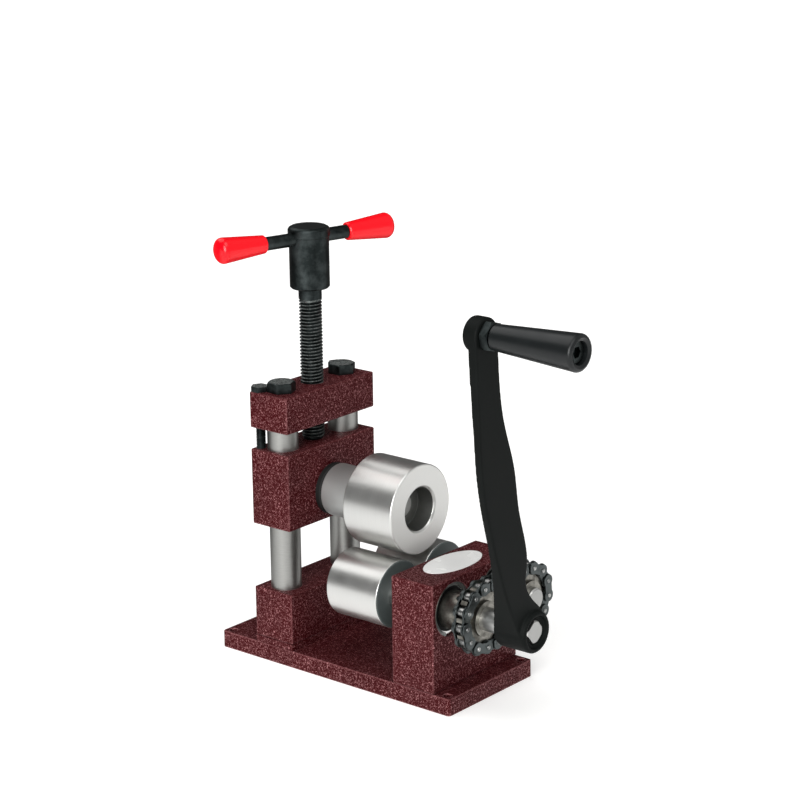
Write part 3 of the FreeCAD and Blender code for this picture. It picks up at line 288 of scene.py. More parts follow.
def turned_steel(name, axis_x, axis_z, zones=()):
    """Bright carbon steel turned on a lathe, about a line along Y.

    The tool's feed leaves fine rings on the faces and round the barrel, so highlights spread across them.
    Each zone is a stretch that keeps another skin, some of it painted shade: its ranges of radius and Y,
    then its colour, roughness and metallic share.
    """
    look = bpy.context.scene.roller_finishes
    material, tree, shader = new_material(name)
    place = part_place(tree)
    parts = add_node(tree, "ShaderNodeSeparateXYZ", inputs={0: place})
    across = add_node(tree, "ShaderNodeMath", {"operation": "SUBTRACT"}, {0: parts.outputs["X"], 1: axis_x})
    above = add_node(tree, "ShaderNodeMath", {"operation": "SUBTRACT"}, {0: parts.outputs["Z"], 1: axis_z})
    arm = add_node(tree, "ShaderNodeCombineXYZ", inputs={"X": across.outputs[0], "Y": above.outputs[0]})
    radius = add_node(tree, "ShaderNodeVectorMath", {"operation": "LENGTH"}, {0: arm.outputs[0]})
    cut = add_node(tree, "ShaderNodeCombineXYZ", inputs={
        "X": radius.outputs["Value"], "Y": parts.outputs["Y"]})
    rings = add_node(tree, "ShaderNodeTexNoise", inputs={
        "Vector": cut.outputs[0], "Scale": 1 / look.turning_feed, "Detail": 3.0, "Roughness": 0.65})
    stain = add_node(tree, "ShaderNodeTexNoise", inputs={
        "Vector": place, "Scale": 90.0, "Detail": 4.0, "Roughness": 0.6})
    tint = add_node(tree, "ShaderNodeMix", {"data_type": "RGBA"}, {
        "Factor": rings.outputs["Fac"], 6: look.steel_shadow, 7: look.steel})
    base = tint.outputs[2]
    rough = add_node(tree, "ShaderNodeMapRange", inputs={
        "Value": stain.outputs["Fac"], "From Min": 0.3, "From Max": 0.7, "To Min": 0.31, "To Max": 0.36})
    roughness = rough.outputs["Result"]
    metallic = 1.0
    for (inner, outer), (front, back), shade, dull_roughness, dull_metallic in zones:
        ringed = add_node(tree, "ShaderNodeMath", {"operation": "COMPARE"}, {
            0: radius.outputs["Value"], 1: (inner + outer) / 2, 2: (outer - inner) / 2})
        along = add_node(tree, "ShaderNodeMath", {"operation": "COMPARE"}, {
            0: parts.outputs["Y"], 1: (front + back) / 2, 2: (back - front) / 2})
        mask = add_node(tree, "ShaderNodeMath", {"operation": "MULTIPLY"}, {
            0: ringed.outputs[0], 1: along.outputs[0]})
        base = add_node(tree, "ShaderNodeMix", {"data_type": "RGBA"}, {
            "Factor": mask.outputs[0], 6: base, 7: shade}).outputs[2]
        roughness = add_node(tree, "ShaderNodeMix", {"data_type": "FLOAT"}, {
            "Factor": mask.outputs[0], 2: roughness, 3: dull_roughness}).outputs[0]
        metallic = add_node(tree, "ShaderNodeMix", {"data_type": "FLOAT"}, {
            "Factor": mask.outputs[0], 2: metallic, 3: dull_metallic}).outputs[0]
    bump = add_node(tree, "ShaderNodeBump", inputs={
        "Height": rings.outputs["Fac"], "Strength": 0.2, "Distance": 0.006 * MM})
    tree.links.new(base, shader.inputs["Base Color"])
    tree.links.new(roughness, shader.inputs["Roughness"])
    tree.links.new(bump.outputs["Normal"], shader.inputs["Normal"])
    if zones:
        tree.links.new(metallic, shader.inputs["Metallic"])
    else:
        shader.inputs["Metallic"].default_value = metallic
    return material


def ground_steel():
    """Hardened steel rod, centreless ground.

    The wheel leaves a fine round-and-round grain, so the rod shows soft bands along its length.
    """
    look = bpy.context.scene.roller_finishes
    material, tree, shader = new_material("ground_steel")
    squeezed = add_node(tree, "ShaderNodeMapping", inputs={"Vector": part_place(tree), "Scale": (1, 1, 14)})
    grain = add_node(tree, "ShaderNodeTexNoise", inputs={
        "Vector": squeezed.outputs[0], "Scale": 260.0, "Detail": 5.0, "Roughness": 0.7})
    tint = add_node(tree, "ShaderNodeMix", {"data_type": "RGBA"}, {
        "Factor": grain.outputs["Fac"], 6: look.ground_shadow, 7: look.ground})
    rough = add_node(tree, "ShaderNodeMapRange", inputs={
        "Value": grain.outputs["Fac"], "From Min": 0.3, "From Max": 0.7, "To Min": 0.34, "To Max": 0.44})
    bump = add_node(tree, "ShaderNodeBump", inputs={
        "Height": grain.outputs["Fac"], "Strength": 0.15, "Distance": 0.008 * MM})
    tree.links.new(tint.outputs[2], shader.inputs["Base Color"])
    tree.links.new(rough.outputs["Result"], shader.inputs["Roughness"])
    tree.links.new(bump.outputs["Normal"], shader.inputs["Normal"])
    shader.inputs["Metallic"].default_value = 1.0
    return material


def metal(name, bright, dull, patch_mm, roughness, grain_mm, bump_depth_mm, bias=(0.35, 0.65), worn=None):
    """Metal whose colour and roughness wander between two states in patches, over a fine grain.

    roughness holds the two roughnesses, of the bright and the dull state, and bias the range of the noise
    over which one state turns into the other. worn gives, for the tree, the colour of worn places, which
    carries painted highlight too, and the socket that says where they are.
    """
    material, tree, shader = new_material(name)
    place = part_place(tree)
    patches = add_node(tree, "ShaderNodeTexNoise", inputs={
        "Vector": place, "Scale": 1 / (patch_mm * MM), "Detail": 5.0, "Roughness": 0.65})
    share = add_node(tree, "ShaderNodeMapRange", inputs={
        "Value": patches.outputs["Fac"], "From Min": bias[0], "From Max": bias[1]})
    grain = add_node(tree, "ShaderNodeTexNoise", inputs={
        "Vector": place, "Scale": 1 / (grain_mm * MM), "Detail": 3.0, "Roughness": 0.6})
    tint = add_node(tree, "ShaderNodeMix", {"data_type": "RGBA"}, {
        "Factor": share.outputs["Result"], 6: bright, 7: dull})
    base = tint.outputs[2]
    shader.inputs["Metallic"].default_value = 1.0
    if worn is not None:
        wear_and_highlight_colour, wear_and_highlight_place = worn(tree)
        # Wear and painted highlight: the worn colour goes on in speckles where the socket says.
        speckled = add_node(tree, "ShaderNodeMapRange", inputs={
            "Value": grain.outputs["Fac"], "From Min": 0.4, "From Max": 0.6})
        rubbed = add_node(tree, "ShaderNodeMath", {"operation": "MULTIPLY"}, {
            0: wear_and_highlight_place, 1: speckled.outputs["Result"]})
        base = add_node(tree, "ShaderNodeMix", {"data_type": "RGBA"}, {
            "Factor": rubbed.outputs[0], 6: base, 7: wear_and_highlight_colour}).outputs[2]
        skin = add_node(tree, "ShaderNodeMapRange", inputs={
            "Value": rubbed.outputs[0], "To Min": 1.0, "To Max": 0.5})
        tree.links.new(skin.outputs["Result"], shader.inputs["Metallic"])
    rough = add_node(tree, "ShaderNodeMapRange", inputs={
        "Value": share.outputs["Result"], "To Min": roughness[0], "To Max": roughness[1]})
    bump = add_node(tree, "ShaderNodeBump", inputs={
        "Height": grain.outputs["Fac"], "Strength": 0.4, "Distance": bump_depth_mm * MM})
    tree.links.new(base, shader.inputs["Base Color"])
    tree.links.new(rough.outputs["Result"], shader.inputs["Roughness"])
    tree.links.new(bump.outputs["Normal"], shader.inputs["Normal"])
    return material


def black_oxide_steel():
    """Steel blackened in hot salts and oiled: a deep black skin with a low sheen, rubbed grey in places."""
    look = bpy.context.scene.roller_finishes
    return metal("black_oxide_steel", look.oxide, look.oxide_rub, patch_mm=9, roughness=(0.34, 0.5),
                 grain_mm=0.3, bump_depth_mm=0.02, bias=(0.4, 0.85))


def bolt_steel():
    """Blackened bolts, speckled grey on top of their heads: a painted highlight on the tops, with a speckle
    of wear where spanner and air get at them.
    """
    look = bpy.context.scene.roller_finishes

    def lit_tops(tree):
        up = add_node(tree, "ShaderNodeSeparateXYZ", inputs={
            0: add_node(tree, "ShaderNodeNewGeometry").outputs["Normal"]})
        # Painted highlight: faces that look up get the lighter speckled grey.
        level = add_node(tree, "ShaderNodeMath", {"operation": "GREATER_THAN"}, {0: up.outputs["Z"], 1: 0.9})
        return look.oxide_top_highlight, level.outputs[0]

    return metal("bolt_steel", look.oxide, look.oxide_rub, patch_mm=6, roughness=(0.36, 0.5),
                 grain_mm=0.7, bump_depth_mm=0.03, bias=(0.4, 0.85), worn=lit_tops)


def screw_steel(axis_x, axis_y, crest, thread_top):
    """Blackened press screw, lighter grey on its thread's crests: wear from the thread in the crossbar, and
    painted highlight.
    """
    look = bpy.context.scene.roller_finishes

    def on_crests(tree):
        place = part_place(tree)
        shifted = add_node(tree, "ShaderNodeVectorMath", {"operation": "SUBTRACT"}, {
            0: place, 1: (axis_x, axis_y, 0)})
        flat = add_node(tree, "ShaderNodeVectorMath", {"operation": "MULTIPLY"}, {
            0: shifted.outputs[0], 1: (1, 1, 0)})
        reach = add_node(tree, "ShaderNodeVectorMath", {"operation": "LENGTH"}, {0: flat.outputs[0]})
        # Wear and painted highlight on the thread's crests, near the outer radius.
        high = add_node(tree, "ShaderNodeMapRange", inputs={
            "Value": reach.outputs["Value"], "From Min": crest - 0.5 * MM, "From Max": crest - 0.1 * MM})
        parts = add_node(tree, "ShaderNodeSeparateXYZ", inputs={0: place})
        below = add_node(tree, "ShaderNodeMath", {"operation": "LESS_THAN"}, {
            0: parts.outputs["Z"], 1: thread_top})
        threaded = add_node(tree, "ShaderNodeMath", {"operation": "MULTIPLY"}, {
            0: high.outputs["Result"], 1: below.outputs[0]})
        return look.thread_crest_highlight, threaded.outputs[0]

    return metal("screw_steel", look.oxide, look.oxide_rub, patch_mm=9, roughness=(0.34, 0.5),
                 grain_mm=0.4, bump_depth_mm=0.02, bias=(0.4, 0.85), worn=on_crests)


def chain_plate_steel():
    """Blued steel of stamped chain plates: dark grey, oily, with dirt in its pores."""
    look = bpy.context.scene.roller_finishes
    return metal("chain_plate_steel", look.chain_steel, look.chain_grime, patch_mm=4, roughness=(0.3, 0.55),
                 grain_mm=0.25, bump_depth_mm=0.03, bias=(0.5, 0.85))


def rolled_pin_steel():
    """Hardened steel of chain pins, bushes and rollers: bright where it is rubbed, grey where it is oily."""
    look = bpy.context.scene.roller_finishes
    return metal("rolled_pin_steel", look.shaft_end, look.chain_steel, patch_mm=2.5, roughness=(0.28, 0.45),
                 grain_mm=0.3, bump_depth_mm=0.01, bias=(0.4, 0.7))


def hobbed_sprocket_steel():
    """Plain steel of cut sprockets: grey and worn bright on its teeth and hub, with oil stains."""
    look = bpy.context.scene.roller_finishes
    return metal("hobbed_sprocket_steel", look.sprocket, look.sprocket_oil, patch_mm=5, roughness=(0.28, 0.5),
                 grain_mm=0.4, bump_depth_mm=0.04, bias=(0.4, 0.72))


def bearing_steel():
    """Chromium bearing steel, ground and lapped: a clear grey mirror with a trace of oil."""
    look = bpy.context.scene.roller_finishes
    return metal("bearing_steel", look.steel, look.steel_shadow, patch_mm=6, roughness=(0.12, 0.22),
                 grain_mm=0.2, bump_depth_mm=0.003)


def spring_steel():
    """Phosphated spring steel of circlips: dark grey with a soft sheen and brighter edges."""
    look = bpy.context.scene.roller_finishes
    return metal("spring_steel", look.spring, look.spring_shadow, patch_mm=5, roughness=(0.3, 0.5),
                 grain_mm=0.3, bump_depth_mm=0.02)


def bronze():
    """Leaded bronze, turned: warm yellow-brown metal with darker tarnish."""
    look = bpy.context.scene.roller_finishes
    return metal("bronze", look.bronze, look.bronze_tarnish, patch_mm=4, roughness=(0.25, 0.4),
                 grain_mm=0.3, bump_depth_mm=0.01)


def satin_enamel():
    """Black stoving enamel over a forging: satin, slightly wavy, with the forging's skin showing through."""
    look = bpy.context.scene.roller_finishes
    material, tree, shader = new_material("satin_enamel")
    place = part_place(tree)
    wave = add_node(tree, "ShaderNodeTexNoise", inputs={
        "Vector": place, "Scale": 1 / (2.2 * MM), "Detail": 3.0, "Roughness": 0.5})
    cloud = add_node(tree, "ShaderNodeTexNoise", inputs={"Vector": place, "Scale": 60.0, "Detail": 3.0})
    rough = add_node(tree, "ShaderNodeMapRange", inputs={
        "Value": cloud.outputs["Fac"], "From Min": 0.3, "From Max": 0.7, "To Min": 0.5, "To Max": 0.58})
    tint = add_node(tree, "ShaderNodeMix", {"data_type": "RGBA"}, {
        "Factor": cloud.outputs["Fac"], 6: look.crank_enamel, 7: look.crank_cloud})
    bump = add_node(tree, "ShaderNodeBump", inputs={
        "Height": wave.outputs["Fac"], "Strength": 0.3, "Distance": 0.04 * MM})
    tree.links.new(tint.outputs[2], shader.inputs["Base Color"])
    tree.links.new(rough.outputs["Result"], shader.inputs["Roughness"])
    tree.links.new(bump.outputs["Normal"], shader.inputs["Normal"])
    shader.inputs["IOR"].default_value = 1.5
    shader.inputs["Specular IOR Level"].default_value = 0.07
    return material


def moulded_plastic(name, base, roughness, grain_mm, depth_mm, gloss=0.5, coat=0.0):
    """Moulded plastic or fired enamel: even colour with a faint orange peel.

    grain_mm and depth_mm are the size and depth of the peel, gloss the specular level and coat the weight
    of a clear coat.
    """
    material, tree, shader = new_material(name)
    place = part_place(tree)
    peel = add_node(tree, "ShaderNodeTexNoise", inputs={
        "Vector": place, "Scale": 1 / (grain_mm * MM), "Detail": 2.0, "Roughness": 0.5})
    bump = add_node(tree, "ShaderNodeBump", inputs={
        "Height": peel.outputs["Fac"], "Strength": 0.3, "Distance": depth_mm * MM})
    cloud = add_node(tree, "ShaderNodeTexNoise", inputs={"Vector": place, "Scale": 70.0, "Detail": 2.0})
    tint = add_node(tree, "ShaderNodeMix", {"data_type": "RGBA", "blend_type": "MULTIPLY"}, {
        "Factor": 0.12, 6: base, 7: cloud.outputs["Fac"]})
    rough = add_node(tree, "ShaderNodeMapRange", inputs={
        "Value": cloud.outputs["Fac"], "From Min": 0.3, "From Max": 0.7,
        "To Min": roughness * 0.85, "To Max": roughness * 1.15})
    tree.links.new(tint.outputs[2], shader.inputs["Base Color"])
    tree.links.new(rough.outputs["Result"], shader.inputs["Roughness"])
    tree.links.new(bump.outputs["Normal"], shader.inputs["Normal"])
    shader.inputs["IOR"].default_value = 1.49
    shader.inputs["Specular IOR Level"].default_value = gloss
    shader.inputs["Coat Weight"].default_value = coat
    shader.inputs["Coat Roughness"].default_value = 0.08
    return material


def grip_nylon():
    """Glass-filled nylon, moulded: near black with a satin shine along the barrel."""
    return moulded_plastic("grip_nylon", bpy.context.scene.roller_finishes.grip_plastic,
                           roughness=0.34, grain_mm=1.2, depth_mm=0.01, gloss=0.35)


def knob_vinyl():
    """Dip-moulded vinyl: saturated red with a wet, slightly uneven gloss."""
    return moulded_plastic("knob_vinyl", bpy.context.scene.roller_finishes.knob_plastic,
                           roughness=0.2, grain_mm=3.0, depth_mm=0.03, gloss=0.4)


def seal_rubber():
    """Nitrile rubber of bearing seals and the dust cover: matt black with a fine moulded grain."""
    return moulded_plastic("seal_rubber", bpy.context.scene.roller_finishes.rubber,
                           roughness=0.6, grain_mm=0.6, depth_mm=0.02, gloss=0.3)


def label_enamel():
    """Vitreous enamel on a thin plate: glossy white with no print."""
    return moulded_plastic("label_enamel", bpy.context.scene.roller_finishes.label_enamel,
                           roughness=0.25, grain_mm=2.0, depth_mm=0.008, coat=0.2)


MATERIALS = {}


def material_of(make):
    """The material that a function makes, made once."""
    if make not in MATERIALS:
        MATERIALS[make] = make()
    return MATERIALS[make]


def dress(material, *nodes):
    """Gives nodes of the frame a material."""
    for node in nodes:
        for slot in frame["nodes"][node].material_slots:
            slot.material = material


def piece_from(mesh, name, material, slot, *nodes):
    """Object that stands for nodes of the frame and rides on their body."""
    piece = bpy.data.objects.new(name, mesh)
    bpy.context.scene.collection.objects.link(piece)
    mesh.materials.clear()
    mesh.materials.append(material)
    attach(piece, frame["nodes"][nodes[0]]["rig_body"])
    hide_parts(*nodes)
    return piece


def welded(node):
    """The mesh of a node as one closed skin, with flat stretches merged into single faces."""
    shape = bmesh.new()
    shape.from_mesh(frame["nodes"][node].data)
    bmesh.ops.remove_doubles(shape, verts=shape.verts, dist=WELD_DISTANCE)
    bmesh.ops.dissolve_limit(shape, angle_limit=FLAT_ANGLE, verts=shape.verts, edges=shape.edges)
    mesh = bpy.data.meshes.new(node + "_skin")
    shape.to_mesh(mesh)
    shape.free()
    if "custom_normal" in mesh.attributes:
        mesh.attributes.remove(mesh.attributes["custom_normal"])
    mesh.shade_smooth()
    return mesh


def baked(mesh, modifiers):
    """The mesh after a list of modifiers, each given as its kind and settings."""
    carrier = bpy.data.objects.new("carrier", mesh)
    bpy.context.scene.collection.objects.link(carrier)
    for kind, settings in modifiers:
        modifier = carrier.modifiers.new(kind.lower(), kind)
        for name, value in settings.items():
            setattr(modifier, name, value)
    graph = bpy.context.evaluated_depsgraph_get()
    result = bpy.data.meshes.new_from_object(carrier.evaluated_get(graph), depsgraph=graph)
    bpy.data.objects.remove(carrier)
    return result


def softened(node, material, slot, width):
    """A node's own form with its sharp edges broken, so that they catch the light."""
    mesh = baked(welded(node), [
        ("BEVEL", {"width": width, "segments": 2, "limit_method": "ANGLE", "angle_limit": EDGE_ANGLE}),
        ("WEIGHTED_NORMAL", {"keep_sharp": True})])
    return piece_from(mesh, node + "_softened", material, slot, node)


class PaintBlocks(bpy.types.Operator):
    """Gives the base, the blocks and the crossbar their hammertone enamel"""
    bl_idname = "ring_roller.paint_blocks"
    bl_label = "Paint blocks"

    def execute(self, context):
        dress(material_of(hammertone_enamel),
              "base_plate", "post_block", "crossbar", "slide_block", "bearing_block")
        dress(hammertone_enamel("packing_plate_enamel", edge_glint=0.0), "packing_plate")
        return {"FINISHED"}


class FinishPosts(bpy.types.Operator):
    """Gives the guide posts their ground steel"""
    bl_idname = "ring_roller.finish_posts"
    bl_label = "Finish guide posts"

    def execute(self, context):
        dress(material_of(ground_steel), "guide_post_left", "guide_post_right")
        return {"FINISHED"}


class TurnRollers(bpy.types.Operator):
    """Turns the three rollers and their shafts, with rings about each one's own axis"""
    bl_idname = "ring_roller.turn_rollers"
    bl_label = "Turn rollers and shafts"

    def execute(self, context):
        sizes = context.scene.roller_sizes
        look = context.scene.roller_finishes
        edge = sizes.machined_edge
        mouth_margin, face_depth, painted_shade_depth, end_depth = 0.1 * MM, 0.2 * MM, 0.5 * MM, 0.3 * MM
        for roller, shaft in (("upper_roller", "upper_shaft"), ("drive_roller", "drive_shaft"),
                              ("driven_roller", "driven_shaft")):
            low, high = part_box(roller)
            middle = (low + high) / 2
            if roller == "upper_roller":
                mouth = sizes.recess_radius + mouth_margin
                floor = low.y + sizes.recess_depth + face_depth
                rear = low.y + sizes.roller_width
                zones = [((mouth, FAR), (-FAR, low.y + face_depth), look.steel, 0.55, 0.8),
                         # Painted shade inside the recess: darker colour; the rougher bored finish is the
                         # recess's own.
                         ((0.0, mouth), (-FAR, floor), look.recess_shade, 0.5, 1.0),
                         ((0.0, FAR), (rear, FAR), look.neck, 0.5, 0.9)]
            else:
                # Painted shade: the lower roller's front face turns dark grey and non-metallic, as though in
                # shadow.
                zones = [((0.0, FAR), (-FAR, low.y + painted_shade_depth), look.painted_shade_face, 0.5, 0.0)]
            steel = turned_steel(roller + "_steel", middle.x, middle.z, zones)
            softened(roller, steel, "turned_steel", edge)
            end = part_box(shaft)[0].y
            faced = [((0.0, FAR), (-FAR, end + end_depth), look.shaft_end, 0.55, 0.8)]
            softened(shaft, turned_steel(shaft + "_steel", middle.x, middle.z, faced), "turned_steel", edge)
        dress(material_of(bearing_steel), "drive_spacer", "driven_spacer")
        return {"FINISHED"}


class CutPressScrew(bpy.types.Operator):
    """Cuts the press screw's thread as one right-hand helix and adds its neck and journal"""
    bl_idname = "ring_roller.cut_press_screw"
    bl_label = "Cut press screw"

    def execute(self, context):
        sizes = context.scene.roller_sizes
        chamfer, clearance = 0.5 * MM, 0.3 * MM
        levels_per_turn, segments = 12, 60
        half_flat, flank = 1 / 16, 3 / 8    # half the root's flat and one flank, as shares of the pitch
        run_out_steepness = 1.5
        low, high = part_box("press_screw")
        axis = (low + high) / 2
        crest = (high.x - low.x) / 2
        thread_top = high.z - sizes.hub_socket - sizes.thread_neck
        slide_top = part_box("slide_block")[1].z
        thread_bottom = slide_top + clearance
        journal = sizes.journal_radius
        groove = low.z + sizes.groove_height
        groove_top = groove + sizes.groove_width
        profile = [(0, low.z), (journal - chamfer, low.z), (journal, low.z + chamfer), (journal, groove),
                   (sizes.groove_radius, groove), (sizes.groove_radius, groove_top), (journal, groove_top),
                   (journal, thread_bottom)]
        count = int((thread_top - thread_bottom) / sizes.thread_pitch * levels_per_turn)
        thread = [(None, thread_bottom + step * (thread_top - thread_bottom) / count)
                  for step in range(count + 1)]
        neck = [(crest, thread_top + clearance), (crest, high.z - chamfer), (crest - chamfer, high.z),
                (0, high.z)]

        def thread_radius(height, turn):
            """Radius of the helix at a height and a share of a turn, with run-outs at both ends."""
            phase = (height / sizes.thread_pitch - turn) % 1.0
            wedge = min(max((abs(phase - 0.5) - half_flat) / flank, 0.0), 1.0)
            depth = sizes.thread_depth * (1 - wedge)
            run_in = min(max((height - thread_bottom) / sizes.thread_pitch, 0.0), 1.0)
            run_out = min(max((thread_top - height) / sizes.thread_pitch, 0.0), 1.0)
            lead = sizes.thread_depth * (1 - run_in)
            return crest - max(depth * min(run_out * run_out_steepness, 1.0), lead)

        points = []
        for radius, height in profile + thread + neck:
            for segment in range(segments):
                turn = segment / segments
                reach = thread_radius(height, turn) if radius is None else radius
                points.append((axis.x + reach * math.cos(math.tau * turn),
                               axis.y + reach * math.sin(math.tau * turn), height))
        rows = len(points) // segments
        faces = [(row * segments + a, row * segments + (a + 1) % segments,
                  (row + 1) * segments + (a + 1) % segments, (row + 1) * segments + a)
                 for row in range(rows - 1) for a in range(segments)]
        mesh = bpy.data.meshes.new("press_screw_cut")
        mesh.from_pydata(points, [], faces)
        shape = bmesh.new()
        shape.from_mesh(mesh)
        bmesh.ops.remove_doubles(shape, verts=shape.verts, dist=WELD_DISTANCE / 2)
        shape.to_mesh(mesh)
        shape.free()
        mesh.shade_smooth()
        mesh.set_sharp_from_angle(angle=THREAD_EDGE_ANGLE)
        steel = screw_steel(axis.x, axis.y, crest, thread_top)
        piece_from(mesh, "press_screw_cut", steel, "black_oxide_steel", "press_screw")
        return {"FINISHED"}


class FitTeeHandle(bpy.types.Operator):
    """Fits the tee handle: blackened hub and bar with red vinyl knobs"""
    bl_idname = "ring_roller.fit_tee_handle"
    bl_label = "Fit tee handle"

    def execute(self, context):
        edge = context.scene.roller_sizes.machined_edge
        for node in ("tee_hub", "tee_bar", "tee_hub_pin"):
            softened(node, material_of(black_oxide_steel), "black_oxide_steel", edge)
        dress(material_of(knob_vinyl), "tee_knob_left", "tee_knob_right")
        return {"FINISHED"}


class FitCrank(bpy.types.Operator):
    """Forges the crank arm's skin and fits the grip"""
    bl_idname = "ring_roller.fit_crank"
    bl_label = "Fit crank and grip"

    def execute(self, context):
        sizes = context.scene.roller_sizes
        mesh = baked(welded("crank_arm"), [
            ("REMESH", {"mode": "VOXEL", "voxel_size": sizes.forging_grain, "use_smooth_shade": True}),
            ("SMOOTH", {"factor": 0.5, "iterations": sizes.forging_passes})])
        mesh.shade_smooth()
        piece_from(mesh, "crank_arm_forged", material_of(satin_enamel), "black_paint", "crank_arm")
        softened("grip_nut", material_of(black_oxide_steel), "black_oxide_steel", sizes.machined_edge)
        dress(material_of(black_oxide_steel), "grip_spindle", "crank_grub_screw")
        dress(material_of(grip_nylon), "grip")
        return {"FINISHED"}


class FitChain(bpy.types.Operator):
    """Fits the roller chain and its two sprockets"""
    bl_idname = "ring_roller.fit_chain"
    bl_label = "Fit chain and sprockets"

    def execute(self, context):
        sizes = context.scene.roller_sizes
        for node in ("chain_inner_plates", "chain_outer_plates", "chain_cranked_link"):
            softened(node, material_of(chain_plate_steel), "chain_steel", sizes.fine_edge)
        for node in ("chain_rollers", "chain_pins"):
            softened(node, material_of(rolled_pin_steel), "chain_steel", sizes.machined_edge)
        dress(material_of(rolled_pin_steel), "chain_bushes")
        for node in ("drive_sprocket", "driven_sprocket"):
            softened(node, material_of(hobbed_sprocket_steel), "turned_steel", sizes.fine_edge)
        dress(material_of(black_oxide_steel), "drive_sprocket_grub_screw", "driven_sprocket_grub_screw")
        return {"FINISHED"}


class FitBearings(bpy.types.Operator):
    """Fits the ball bearings, their seals and circlips, and the dust cover"""
    bl_idname = "ring_roller.fit_bearings"
    bl_label = "Fit bearings"

    def execute(self, context):
        dress(material_of(bearing_steel), "lower_bearing_outer_rings", "lower_bearing_balls",
              "drive_bearing_inner_rings", "driven_bearing_inner_rings", "upper_bearing_outer_rings",
              "upper_bearing_balls", "upper_bearing_inner_rings", "upper_bearing_spacer")
        dress(material_of(seal_rubber), "lower_bearing_seals", "upper_bearing_seals", "dust_cover")
        dress(material_of(spring_steel), "bearing_circlips", "upper_shaft_circlip")
        dress(material_of(bronze), "thrust_pad")
        return {"FINISHED"}


class FitFasteners(bpy.types.Operator):
    """Fits the bolts and screws"""
    bl_idname = "ring_roller.fit_fasteners"
    bl_label = "Fit bolts and screws"

    def execute(self, context):
        edge = context.scene.roller_sizes.machined_edge
        for node in ("crossbar_bolts", "stop_bolts"):
            softened(node, material_of(bolt_steel), "black_oxide_steel", edge)
        dress(material_of(black_oxide_steel), "post_foot_screws", "bearing_block_screws",
              "drive_roller_screw", "driven_roller_screw", "screw_retainer")
        return {"FINISHED"}


class FitLabel(bpy.types.Operator):
    """Fits the blank enamelled label plate"""
    bl_idname = "ring_roller.fit_label"
    bl_label = "Fit label plate"

    def execute(self, context):
        edge = context.scene.roller_sizes.fine_edge
        softened("label_plate", material_of(label_enamel), "white_enamel", edge)
        return {"FINISHED"}


def softbox(name, direction, half_angle_degrees, irradiance):
    """Far softbox that shines from a direction, as a sun lamp."""
    light = bpy.data.lights.new(name, "SUN")
    light.angle = math.radians(2 * half_angle_degrees)
    light.energy = irradiance
    lamp = bpy.data.objects.new(name, light)
    lamp.rotation_euler = Vector(direction).to_track_quat("Z", "Y").to_euler()
    bpy.context.scene.collection.objects.link(lamp)


def paper_sweep():
    """Paper under the machine, white in the picture.

    Reflections and bounced light see it bright in front and on the left, and dark behind on the right,
    as under a studio's black flags.
    """
    bright_side = (-0.6, -0.8, 0.0)
    dark_until, bright_from = -0.2, 0.0    # metres from the origin towards the bright side
    dark, bright = grey(0.08), grey(0.85)
    stage = bpy.context.scene.roller_stage
    material, tree, shader = new_material("paper_sweep")
    along = add_node(tree, "ShaderNodeVectorMath", {"operation": "DOT_PRODUCT"}, {
        0: part_place(tree), 1: bright_side})
    share = add_node(tree, "ShaderNodeMapRange", inputs={
        "Value": along.outputs["Value"], "From Min": dark_until, "From Max": bright_from})
    flagged = add_node(tree, "ShaderNodeValToRGB", {"stops": [(0.0, dark), (1.0, bright)]}, {
        "Fac": share.outputs["Result"]})
    seen = add_node(tree, "ShaderNodeLightPath").outputs["Is Camera Ray"]
    tone = add_node(tree, "ShaderNodeMix", {"data_type": "RGBA"}, {
        "Factor": seen, 6: flagged.outputs["Color"], 7: stage.floor})
    tree.links.new(tone.outputs[2], shader.inputs["Base Color"])
    tree.links.new(tone.outputs[2], shader.inputs["Emission Color"])
    shader.inputs["Emission Strength"].default_value = 0.35
    shader.inputs["Roughness"].default_value = 0.9
    shader.inputs["Specular IOR Level"].default_value = 0.07
    return material


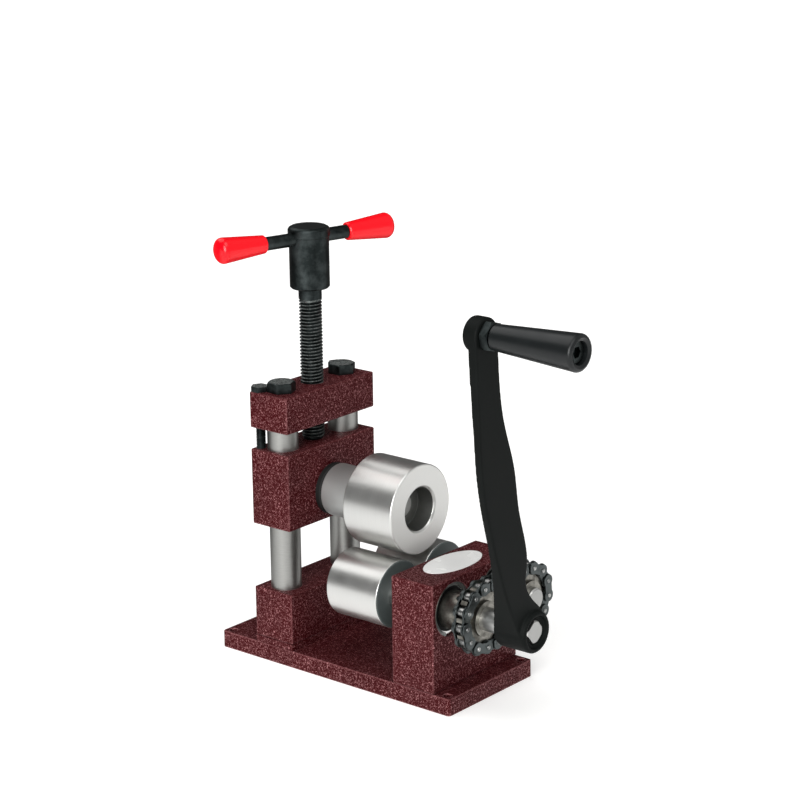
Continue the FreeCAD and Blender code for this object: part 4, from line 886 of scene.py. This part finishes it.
class SetStage(bpy.types.Operator):
    """Sets the floor, the lights, the room and the camera"""
    bl_idname = "ring_roller.set_stage"
    bl_label = "Set stage"

    def execute(self, context):
        stage = context.scene.roller_stage
        half = stage.floor_size / 2
        mesh = bpy.data.meshes.new("floor")
        corners = [(-half, -half, 0), (half, -half, 0), (half, half, 0), (-half, half, 0)]
        mesh.from_pydata(corners, [], [(0, 1, 2, 3)])
        floor = bpy.data.objects.new("floor", mesh)
        context.scene.collection.objects.link(floor)
        mesh.materials.append(paper_sweep())

        world = bpy.data.worlds.new("studio")
        world.use_nodes = True
        context.scene.world = world
        tree = world.node_tree
        tree.nodes.clear()
        parts = add_node(tree, "ShaderNodeSeparateXYZ", inputs={
            0: add_node(tree, "ShaderNodeTexCoord").outputs["Generated"]})
        depth = add_node(tree, "ShaderNodeMapRange", inputs={
            "Value": parts.outputs["Y"], "From Min": -1.0, "From Max": 1.0})
        walls = add_node(tree, "ShaderNodeValToRGB", {
            "stops": [(position, grey(value)) for position, value in ROOM_WALLS]}, {
            "Fac": depth.outputs["Result"]})
        seen = add_node(tree, "ShaderNodeLightPath").outputs["Is Camera Ray"]
        room = add_node(tree, "ShaderNodeMix", {"data_type": "RGBA"}, {
            "Factor": seen, 6: walls.outputs["Color"], 7: grey(1.0)})
        sky = add_node(tree, "ShaderNodeBackground", inputs={"Color": room.outputs[2], "Strength": 1.0})
        add_node(tree, "ShaderNodeOutputWorld", inputs={"Surface": sky.outputs[0]})

        for light in SOFTBOXES:
            softbox(*light)

        camera = bpy.data.cameras.new("camera")
        camera.lens = stage.focal_length
        camera.sensor_width = 36
        right = Vector(stage.camera_right)
        up = Vector(stage.camera_up)
        back = right.cross(up)
        eye = bpy.data.objects.new("camera", camera)
        turn = Matrix((right, up, back)).transposed().to_4x4()
        eye.matrix_world = Matrix.Translation(stage.camera_place) @ turn
        context.scene.collection.objects.link(eye)
        context.scene.camera = eye
        context.scene.view_settings.view_transform = "Standard"
        return {"FINISHED"}


PIECE_OPERATORS = (PaintBlocks, FinishPosts, TurnRollers, CutPressScrew, FitTeeHandle, FitCrank, FitChain,
                   FitBearings, FitFasteners, FitLabel, SetStage)


class RollerPanel(bpy.types.Panel):
    """Lists the ring roller's operators and sizes"""
    bl_idname = "VIEW3D_PT_ring_roller"
    bl_label = "Ring roller"
    bl_space_type = "VIEW_3D"
    bl_region_type = "UI"
    bl_category = "Ring roller"

    def draw(self, context):
        for operator in PIECE_OPERATORS:
            self.layout.operator(operator.bl_idname)
        for group in (context.scene.roller_sizes, context.scene.roller_finishes, context.scene.roller_stage):
            column = self.layout.column()
            for name in group.__annotations__:
                column.prop(group, name)


CLASSES = (RollerFinishes, RollerSizes, RollerStage) + PIECE_OPERATORS + (RollerPanel,)


def register():
    for entry in CLASSES:
        bpy.utils.register_class(entry)
    bpy.types.Scene.roller_finishes = bpy.props.PointerProperty(type=RollerFinishes)
    bpy.types.Scene.roller_sizes = bpy.props.PointerProperty(type=RollerSizes)
    bpy.types.Scene.roller_stage = bpy.props.PointerProperty(type=RollerStage)


def unregister():
    del bpy.types.Scene.roller_stage
    del bpy.types.Scene.roller_sizes
    del bpy.types.Scene.roller_finishes
    for entry in reversed(CLASSES):
        bpy.utils.unregister_class(entry)


def main():
    register()
    for operator in PIECE_OPERATORS:
        family, action = operator.bl_idname.split(".")
        getattr(getattr(bpy.ops, family), action)()
    bpy.context.view_layer.update()


if __name__ == "__main__":
    main()
